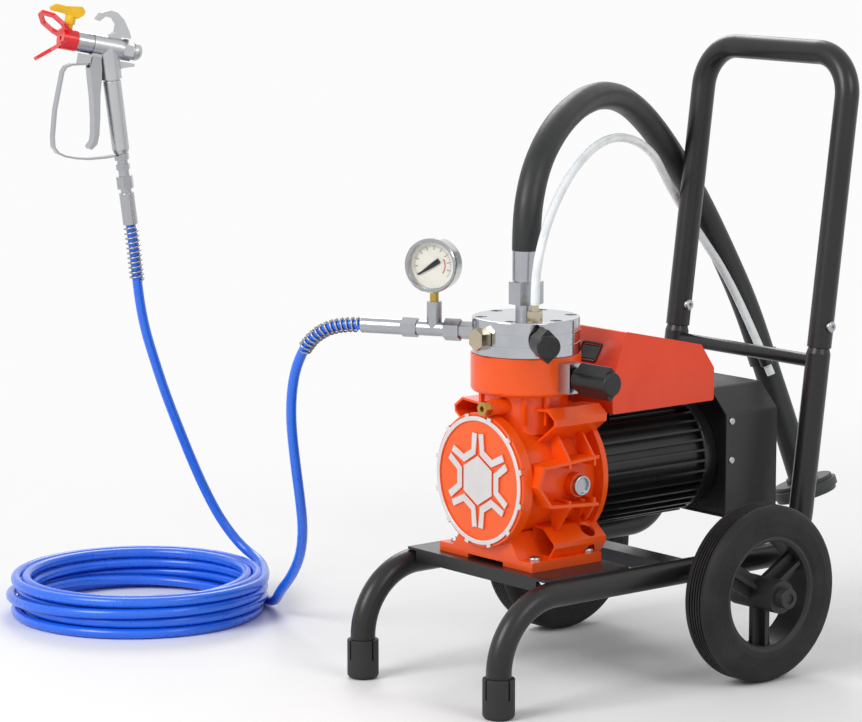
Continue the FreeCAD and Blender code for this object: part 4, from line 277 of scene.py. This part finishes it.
def cover_two_tone():
    """Orange field with bare brushed ring, tabs, hexagon and brackets."""
    finish = Finish("cover_two_tone", ORANGE, 0.3, coat=0.2, Coat_Roughness=0.12, Specular_IOR_Level=0.4)
    depth = finish.axes()[1]
    bare = 1.0 - depth.over(at(0, -267.3, 0).y, 0.0004)
    radius = finish.distance(at(0, 0, 233.8), "Y")
    turned = (radius * 4200.0).sine()
    middle = 1.0 - radius.over(0.0335, 0.0005)
    metal = finish.mix(finish.noise(50.0, 2.0), rgb(232, 226, 224), rgb(214, 212, 212))
    paint = finish.mix(finish.noise(22.0, 3.0), rgb(246, 98, 26), rgb(240, 88, 18))
    finish.set("Base Color", finish.mix(bare, paint, metal))
    finish.set("Metallic", bare * (middle * 0.35 + 0.6))
    finish.set("Roughness", 0.32 - bare * 0.02 + finish.noise(300.0, 2.0) * 0.08)
    finish.bump(turned * middle * bare * 0.2 + finish.noise(700.0, 2.0) * 0.3, 0.00006)
    return finish


def gauge_shell():
    """Polished case above a brass stem."""
    finish = Finish("gauge_case", rgb(208, 208, 206), 0.18, metallic=1.0)
    height = finish.axes()[2]
    stem = 1.0 - height.over(at(0, 0, 433.3).z, 0.0006)
    finish.set("Base Color", finish.mix(stem, finish.mix(
        finish.noise(40.0, 2.0), rgb(214, 214, 212), rgb(190, 188, 184)), rgb(190, 156, 74)))
    finish.set("Roughness", finish.noise(160.0, 2.0) * 0.1 + 0.14)
    finish.bump(finish.noise(500.0, 2.0), 0.00001)
    return finish


def clear_glass():
    finish = Finish("gauge_glass", (0.96, 0.98, 1.0, 1.0), 0.04, Transmission_Weight=1.0, IOR=1.45)
    finish.set("Roughness", finish.noise(60.0, 2.0) * 0.03 + 0.02)
    finish.set("Alpha", 0.16)
    return finish


blue = hose_blue()
tyre = tyre_tread()
head = head_turned()
two_tone = cover_two_tone()
gauge_metal = gauge_shell()
glass = clear_glass()

NODE_FINISHES = {
    frame_coat: (
        "side_tube_left", "side_tube_right", "deck_plate_front", "deck_rail_rear", "upright_crossbar",
        "push_handle"),
    zinc: (
        "frame_bolts", "axle", "cover_screws", "head_bolts", "suction_fitting", "outlet_adapter", "outlet_tee",
        "pressure_valve_block", "hose_pump_ferrule", "hose_gun_ferrule",
        "guard_nut", "oil_sight_glass"),
    nickel: ("head_plug", "return_fitting"),
    chrome: ("gun_trigger", "trigger_guard"),
    cast_grey: ("gun_body", "gun_handle", "gun_rear_cap"),
    core: ("motor_shaft", "stator", "piston"),
    head: ("pump_head",),
    brass: ("oil_fill_plug",),
    cap_rubber: ("foot_caps",),
    tyre: ("tyre_left", "tyre_right"),
    hub_plastic: ("hub_left", "hub_right", "axle_caps"),
    knob_plastic: ("prime_knob", "pressure_knob", "switch_rocker", "hose_clip", "gauge_needle"),
    strainer_plastic: ("suction_strainer",),
    fan_plastic: ("cooling_fan",),
    motor_coat: ("motor_housing",),
    cover_coat: ("fan_cover",),
    pump_enamel: ("pump_housing",),
    box_enamel: ("control_box",),
    two_tone: ("front_cover",),
    gauge_metal: ("gauge_case",),
    glass: ("gauge_lens",),
    red_plastic: ("tip_guard",),
    yellow_plastic: ("tip_key",),
    membrane: ("diaphragm",),
}
for finish, names in NODE_FINISHES.items():
    for name in names:
        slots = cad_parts[name].data.materials
        slots.clear()
        slots.append(finish.material)


# Hoses, in millimetres of the cart

SUCTION_ROUTE = (
    (0, -199, 484), (0, -199, 508), (-3.3, -192, 543), (-13, -172, 578), (-30, -136, 608), (-54, -88, 629),
    (-80, -34, 640), (-104, 19, 638), (-124, 67, 624), (-140, 116, 594), (-152, 165, 550), (-154, 206, 498),
    (-139, 233, 436), (-118, 255, 368), (-98, 269, 297), (-79, 285, 225), (-64, 298, 163))
RETURN_ROUTE = (
    (44, -224, 430), (44, -224, 455), (42, -216, 488), (32, -193, 525), (15, -151, 564), (-9, -98, 589),
    (-37, -38, 598), (-66, 24, 588), (-92, 75, 567), (-118, 113, 543), (-138, 147, 516), (-146, 178, 486),
    (-139, 199, 455), (-119, 218, 414), (-95, 238, 352), (-74, 255, 290))
TO_COIL_ROUTE = (
    (-169.3, -296.8, 391), (-195.3, -311.8, 391), (-226, -324, 374), (-250, -326, 345), (-268, -322, 310),
    (-281, -314, 268), (-290, -302, 222), (-301, -287, 176), (-314, -272, 132), (-336, -259, 94),
    (-367, -249, 62), (-408, -237, 34), (-457, -209.1, 6.2), (-488.3, -198.7, 6.2))
TO_GUN_ROUTE = (
    (-483.3, -201, 44.6), (-514.3, -182.6, 44.6), (-552, -186, 57), (-577, -201, 90), (-587, -220, 133),
    (-590, -238, 174), (-592, -255, 215), (-593, -272, 256), (-592, -288, 298), (-591, -303, 340),
    (-587, -314, 383), (-580.8, -322.4, 425.7), (-582.1, -327.6, 469.4))
COIL_CENTRE = (-550.9, -342.3)
COIL_START = 70.84
COIL_TURNS = 8.97
COIL_POINTS = 24


def coil_points():
    """Points round the wound hose: four layers, in and out, each climb in the half turn of its reversal."""
    quarter = COIL_TURNS / 4
    inside = (3 + math.cos(2 * math.pi / COIL_POINTS)) / 4
    points = []
    for step in range(1, int(COIL_TURNS * COIL_POINTS)):
        turns = step / COIL_POINTS
        leg = min(int(turns / quarter), 3)
        inward = turns - leg * quarter if leg % 2 == 0 else (leg + 1) * quarter - turns
        level = 0.0
        for climb in (1, 2, 3):
            rise = min(max((turns - climb * quarter + 0.25) / 0.5, 0.0), 1.0)
            level += rise * rise * (3 - 2 * rise)
        radius = (156.0 - 12.8 * inward) / inside
        angle = math.radians(COIL_START + 360 * turns)
        points.append((
            COIL_CENTRE[0] + radius * math.cos(angle), COIL_CENTRE[1] + radius * math.sin(angle),
            6.2 + 12.8 * level))
    return points


def hose(name, route, diameter, finish, resolution=6):
    """A round hose on a smooth spline through its route's control points."""
    curve = bpy.data.curves.new(name, "CURVE")
    curve.dimensions = "3D"
    spline = curve.splines.new("NURBS")
    spline.points.add(len(route) - 1)
    for point, place in zip(spline.points, route):
        point.co = (*at(*place), 1.0)
        point.radius = diameter / 2
    spline.order_u = 3
    spline.use_endpoint_u = True
    spline.resolution_u = resolution
    curve.bevel_depth = 1.0
    curve.bevel_resolution = 6
    curve.use_fill_caps = True
    curve.materials.append(finish.material)
    piece = bpy.data.objects.new(name, curve)
    bpy.context.scene.collection.objects.link(piece)
    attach(piece, "sprayer")
    return piece


def line_of(piece):
    """The points along a hose's spline, in order."""
    curve = piece.data
    depth = curve.bevel_depth
    curve.bevel_depth = 0.0
    bpy.context.view_layer.update()
    mesh = bpy.data.meshes.new_from_object(piece.evaluated_get(bpy.context.evaluated_depsgraph_get()))
    curve.bevel_depth = depth
    points = [vertex.co.copy() for vertex in mesh.vertices]
    bpy.data.meshes.remove(mesh)
    return points


def length_of(points):
    return sum((b - a).length for a, b in zip(points, points[1:]))


suction = hose("suction_line", SUCTION_ROUTE, 0.032, suction_rubber, 8)
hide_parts("suction_hose")
suction_line = line_of(suction)

returning = hose("return_line", RETURN_ROUTE, 0.010, return_vinyl, 8)
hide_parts("return_tube")
return_path = line_of(returning)

pressure = hose("pressure_line", [*TO_COIL_ROUTE[:-1], *coil_points(), *TO_GUN_ROUTE[1:]], 0.012, blue, 4)
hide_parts("hose_to_coil", "hose_coil", "hose_to_gun")
pressure_path = line_of(pressure)


# Springs that guard the pressure hose

HELIX_POINTS = 20
WINDING_RADIUS = 0.0079
WIRE_THICKNESS = 0.0024


def helix_on(path, start, length, turns, radius):
    """Points of a winding round a stretch of a line, from a distance along it."""
    reach = [0.0]
    for a, b in zip(path, path[1:]):
        reach.append(reach[-1] + (b - a).length)
    points = []
    count = int(turns * HELIX_POINTS)
    side = Vector((1.0, 0.0, 0.0))
    index = 0
    for step in range(count + 1):
        here = start + length * step / count
        while index < len(path) - 2 and reach[index + 1] < here:
            index += 1
        way = (path[index + 1] - path[index]).normalized()
        centre = path[index] + way * (here - reach[index])
        side = (side - way * side.dot(way)).normalized()
        angle = 2 * math.pi * turns * step / count
        points.append(centre + (side * math.cos(angle) + way.cross(side) * math.sin(angle)) * radius)
    return points


def spring(name, node, points, thickness):
    curve = bpy.data.curves.new(name, "CURVE")
    curve.dimensions = "3D"
    line = curve.splines.new("POLY")
    line.points.add(len(points) - 1)
    for point, place in zip(line.points, points):
        point.co = (*place, 1.0)
        point.radius = thickness / 2
    curve.bevel_depth = 1.0
    curve.bevel_resolution = 3
    curve.use_fill_caps = True
    curve.materials.append(spring_steel.material)
    piece = bpy.data.objects.new(name, curve)
    bpy.context.scene.collection.objects.link(piece)
    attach(piece, "sprayer")
    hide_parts(node)


whole = length_of(pressure_path)
spring("pump_side_spring", "hose_pump_guard",
       helix_on(pressure_path, 0.003, 0.084, 13, WINDING_RADIUS), WIRE_THICKNESS)
spring("gun_side_spring", "hose_gun_guard",
       helix_on(pressure_path, whole - 0.069, 0.066, 11, WINDING_RADIUS), WIRE_THICKNESS)


# Gauge dial and switch bezel

UP = Vector((0.0, 0.0, 1.0))
OUTLET_REACH = 108.5
OUTLET_TURN = math.radians(210)
GAUGE_TURN = math.radians(300)
DIAL_NORMAL = Vector((math.cos(GAUGE_TURN), math.sin(GAUGE_TURN), 0.0))
DIAL_RIGHT = UP.cross(DIAL_NORMAL)
GAUGE_CENTRE = at(OUTLET_REACH * math.cos(OUTLET_TURN), -199 + OUTLET_REACH * math.sin(OUTLET_TURN), 463)
DIAL_CENTRE = GAUGE_CENTRE + DIAL_NORMAL * 0.00515
DIAL_SWEEP = 126.0
TICK_END = 0.0226
INK_BLUR = 0.0003


def dial_paper():
    """Pale dial with ticks round five sixths of a turn and a coloured arc."""
    finish = Finish("dial_paper", rgb(236, 232, 220), 0.5)
    moved = finish.node("ShaderNodeVectorMath", {"operation": "SUBTRACT"}, {0: finish.place, 1: DIAL_CENTRE})

    def along(way):
        return finish.node(
            "ShaderNodeVectorMath", {"operation": "DOT_PRODUCT"}, {0: moved, 1: way}, output="Value")

    across = along(DIAL_RIGHT)
    radius = finish.node("ShaderNodeVectorMath", {"operation": "LENGTH"}, {0: moved}, output="Value")
    angle = across.maths("ARCTAN2", across, along(UP)) * (180 / math.pi)
    swept = 1.0 - angle.maths("ABSOLUTE", angle).over(DIAL_SWEEP, 0.5)

    def ring(inner, outer):
        return radius.over(inner, INK_BLUR) * (1.0 - radius.over(outer, INK_BLUR))

    def ticks(step, inner, wide):
        near = angle.maths("PINGPONG", angle + 720.0, step / 2)
        return ring(inner, TICK_END) * (1.0 - (near * radius).over(wide, wide / 2)) * swept

    long_ticks = ticks(25.0, 0.0172, 0.024)
    mark = long_ticks.maths("MAXIMUM", long_ticks, ticks(5.0, 0.0202, 0.012))
    arc = ring(0.0141, 0.0156) * swept
    paper = finish.mix(finish.noise(60.0, 2.0), rgb(238, 235, 226), rgb(228, 224, 212))
    tinted = finish.mix(arc * angle.over(60.0, 1.0), paper, rgb(190, 60, 48))
    finish.set("Base Color", finish.mix(mark, tinted, rgb(24, 24, 26)))
    finish.set("Roughness", finish.noise(90.0, 2.0) * 0.1 + 0.42)
    return finish


def ringed(name, finish, rings, turn):
    """A lathe-turned piece from rings of radius and height along its own axis."""
    shape = bmesh.new()
    loops = []
    for radius, height in rings:
        made = bmesh.ops.create_circle(shape, cap_ends=False, segments=64, radius=max(radius, 1e-5))
        bmesh.ops.translate(shape, verts=made["verts"], vec=(0.0, 0.0, height))
        loops.append([edge for edge in shape.edges if all(v in made["verts"] for v in edge.verts)])
    for lower, upper in zip(loops, loops[1:]):
        bmesh.ops.bridge_loops(shape, edges=lower + upper)
    bmesh.ops.remove_doubles(shape, verts=shape.verts, dist=5e-5)
    bmesh.ops.recalc_face_normals(shape, faces=shape.faces)
    bmesh.ops.transform(shape, matrix=turn, verts=shape.verts)
    mesh = bpy.data.meshes.new(name)
    shape.to_mesh(mesh)
    shape.free()
    mesh.materials.append(finish.material)
    piece = bpy.data.objects.new(name, mesh)
    bpy.context.scene.collection.objects.link(piece)
    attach(piece, "sprayer")


FACE_GAUGE = Matrix.Translation(GAUGE_CENTRE) @ DIAL_NORMAL.to_track_quat("Z", "Y").to_matrix().to_4x4()
DIAL_RINGS = ((0.0, 0.0054), (0.0256, 0.0054), (0.0256, 0.0050), (0.0, 0.0050))
BEZEL_RINGS = (
    (0.0302, 0.0085), (0.0306, 0.0092), (0.0306, 0.0122), (0.0296, 0.0133), (0.0272, 0.0131), (0.0268, 0.0121),
    (0.0302, 0.0085))
ringed("gauge_dial", dial_paper(), DIAL_RINGS, FACE_GAUGE)
ringed("gauge_bezel", chrome, BEZEL_RINGS, FACE_GAUGE)


# The switch's frame, in metres: half its width and height, its rim, its rise, and its cut corners as shares
FRAME_HALF_WIDTH = 0.0166
FRAME_HALF_HEIGHT = 0.0120
FRAME_RIM = 0.0023
FRAME_RISE = 0.0018
FRAME_EDGE = 0.0005
FRAME_CORNERS = ((-1, -0.8), (-0.86, -1), (0.86, -1), (1, -0.8), (1, 0.8), (0.86, 1), (-0.86, 1), (-1, 0.8))
FACE_SWITCH = Matrix.Translation(at(16, -119, 365)) @ Matrix.Rotation(math.radians(60), 4, "X")


def switch_bezel():
    """A thin frame with cut corners round the rocker's window on the box's sloped face."""
    shape = bmesh.new()
    plate = shape.faces.new([
        shape.verts.new((across * FRAME_HALF_WIDTH, up * FRAME_HALF_HEIGHT, 0.00005))
        for across, up in FRAME_CORNERS])
    plate.normal_update()
    bmesh.ops.inset_region(
        shape, faces=[plate], thickness=FRAME_RIM, use_boundary=True, use_even_offset=True)
    bmesh.ops.delete(shape, geom=[plate], context="FACES_ONLY")
    lifted = bmesh.ops.extrude_face_region(shape, geom=shape.faces[:])["geom"]
    top = [part for part in lifted if isinstance(part, bmesh.types.BMVert)]
    bmesh.ops.translate(shape, verts=top, vec=(0.0, 0.0, FRAME_RISE))
    bmesh.ops.recalc_face_normals(shape, faces=shape.faces)
    sharp = [
        edge for edge in shape.edges
        if all(vert in top for vert in edge.verts) and edge.calc_face_angle(0.0) > 1.0]
    bmesh.ops.bevel(
        shape, geom=sharp, offset=FRAME_EDGE, segments=2, profile=0.5, affect="EDGES", material=-1)
    bmesh.ops.transform(shape, matrix=FACE_SWITCH, verts=shape.verts)
    mesh = bpy.data.meshes.new("switch_bezel")
    shape.to_mesh(mesh)
    shape.free()
    mesh.materials.append(knob_plastic.material)
    piece = bpy.data.objects.new("switch_bezel", mesh)
    bpy.context.scene.collection.objects.link(piece)
    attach(piece, "sprayer")


switch_bezel()


# Studio

FLOOR_RADIUS = 30.0
FADE_MIDDLE = 1.25
FADE_WIDTH = 1.1
SKY_LIGHT = 0.46
LAMPS = (
    ("key", (0.1, -2.8, 2.2), (0.0, 0.0, 0.35), 1.5, 58.0),
    ("side", (2.9, 0.2, 2.1), (0.1, 0.0, 0.3), 1.1, 18.0),
    ("rear", (-2.4, 1.6, 2.4), (0.0, 0.0, 0.4), 1.5, 34.0))
CAMERA_PLACE = Vector((3.1752, -2.6302, 0.9710))
CAMERA_AIM = Vector((0.0413, -0.0778, 0.3407))
CAMERA_LENS = 149.384


def studio():
    """Pale floor that fades to a white background, a soft sky and three large lamps."""
    mesh = bpy.data.meshes.new("floor")
    shape = bmesh.new()
    bmesh.ops.create_circle(shape, cap_ends=True, segments=96, radius=FLOOR_RADIUS)
    bmesh.ops.translate(shape, verts=shape.verts, vec=(0.0, 0.0, -0.0005))
    shape.to_mesh(mesh)
    shape.free()
    finish = Finish("studio_floor", rgb(250, 250, 250), 0.7)
    far = finish.node("ShaderNodeVectorMath", {"operation": "LENGTH"}, {0: finish.place}, output="Value")
    light = finish.node("ShaderNodeLightPath", output="Is Camera Ray")
    rays = light.socket.node.outputs
    seen = light + Wire(finish, rays["Is Glossy Ray"]) + Wire(finish, rays["Is Transmission Ray"])
    white = finish.node("ShaderNodeEmission", sockets={"Color": (0.97, 0.97, 0.97, 1.0), "Strength": 1.0})
    blend = finish.node("ShaderNodeMixShader", sockets={
        0: far.over(FADE_MIDDLE, FADE_WIDTH) * seen, 1: Wire(finish, finish.shader.outputs[0]), 2: white})
    finish.tree.links.new(blend.socket, finish.tree.nodes["Material Output"].inputs["Surface"])
    mesh.materials.append(finish.material)
    floor = bpy.data.objects.new("floor", mesh)
    bpy.context.scene.collection.objects.link(floor)

    world = bpy.data.worlds.new("studio")
    world.use_nodes = True
    bpy.context.scene.world = world
    tree = world.node_tree
    background = tree.nodes["Background"]
    background.inputs["Color"].default_value = (1.0, 1.0, 1.0, 1.0)
    path = tree.nodes.new("ShaderNodeLightPath")
    sky = tree.nodes.new("ShaderNodeMapRange")
    sky.inputs["To Min"].default_value = SKY_LIGHT
    sky.inputs["To Max"].default_value = 1.0
    seen = path.outputs["Is Camera Ray"]
    for ray in ("Is Glossy Ray", "Is Transmission Ray"):
        either = tree.nodes.new("ShaderNodeMath")
        either.operation = "MAXIMUM"
        tree.links.new(seen, either.inputs[0])
        tree.links.new(path.outputs[ray], either.inputs[1])
        seen = either.outputs[0]
    tree.links.new(seen, sky.inputs["Value"])
    tree.links.new(sky.outputs[0], background.inputs["Strength"])

    for name, place, aim, size, power in LAMPS:
        lamp = bpy.data.lights.new(name, "AREA")
        lamp.shape = "RECTANGLE"
        lamp.size = size
        lamp.size_y = size
        lamp.energy = power
        holder = bpy.data.objects.new(name, lamp)
        holder.location = place
        holder.rotation_euler = (Vector(aim) - Vector(place)).to_track_quat("-Z", "Y").to_euler()
        bpy.context.scene.collection.objects.link(holder)


def camera():
    """The photograph's viewing angle."""
    lens = bpy.data.cameras.new("view")
    lens.sensor_fit = "HORIZONTAL"
    lens.sensor_width = 36.0
    lens.lens = CAMERA_LENS
    lens.clip_end = 60.0
    holder = bpy.data.objects.new("view", lens)
    holder.location = CAMERA_PLACE
    holder.rotation_euler = (CAMERA_AIM - CAMERA_PLACE).to_track_quat("-Z", "Y").to_euler()
    bpy.context.scene.collection.objects.link(holder)
    bpy.context.scene.camera = holder


studio()
camera()
bpy.context.scene.view_settings.view_transform = "Standard"

bpy.context.view_layer.update()
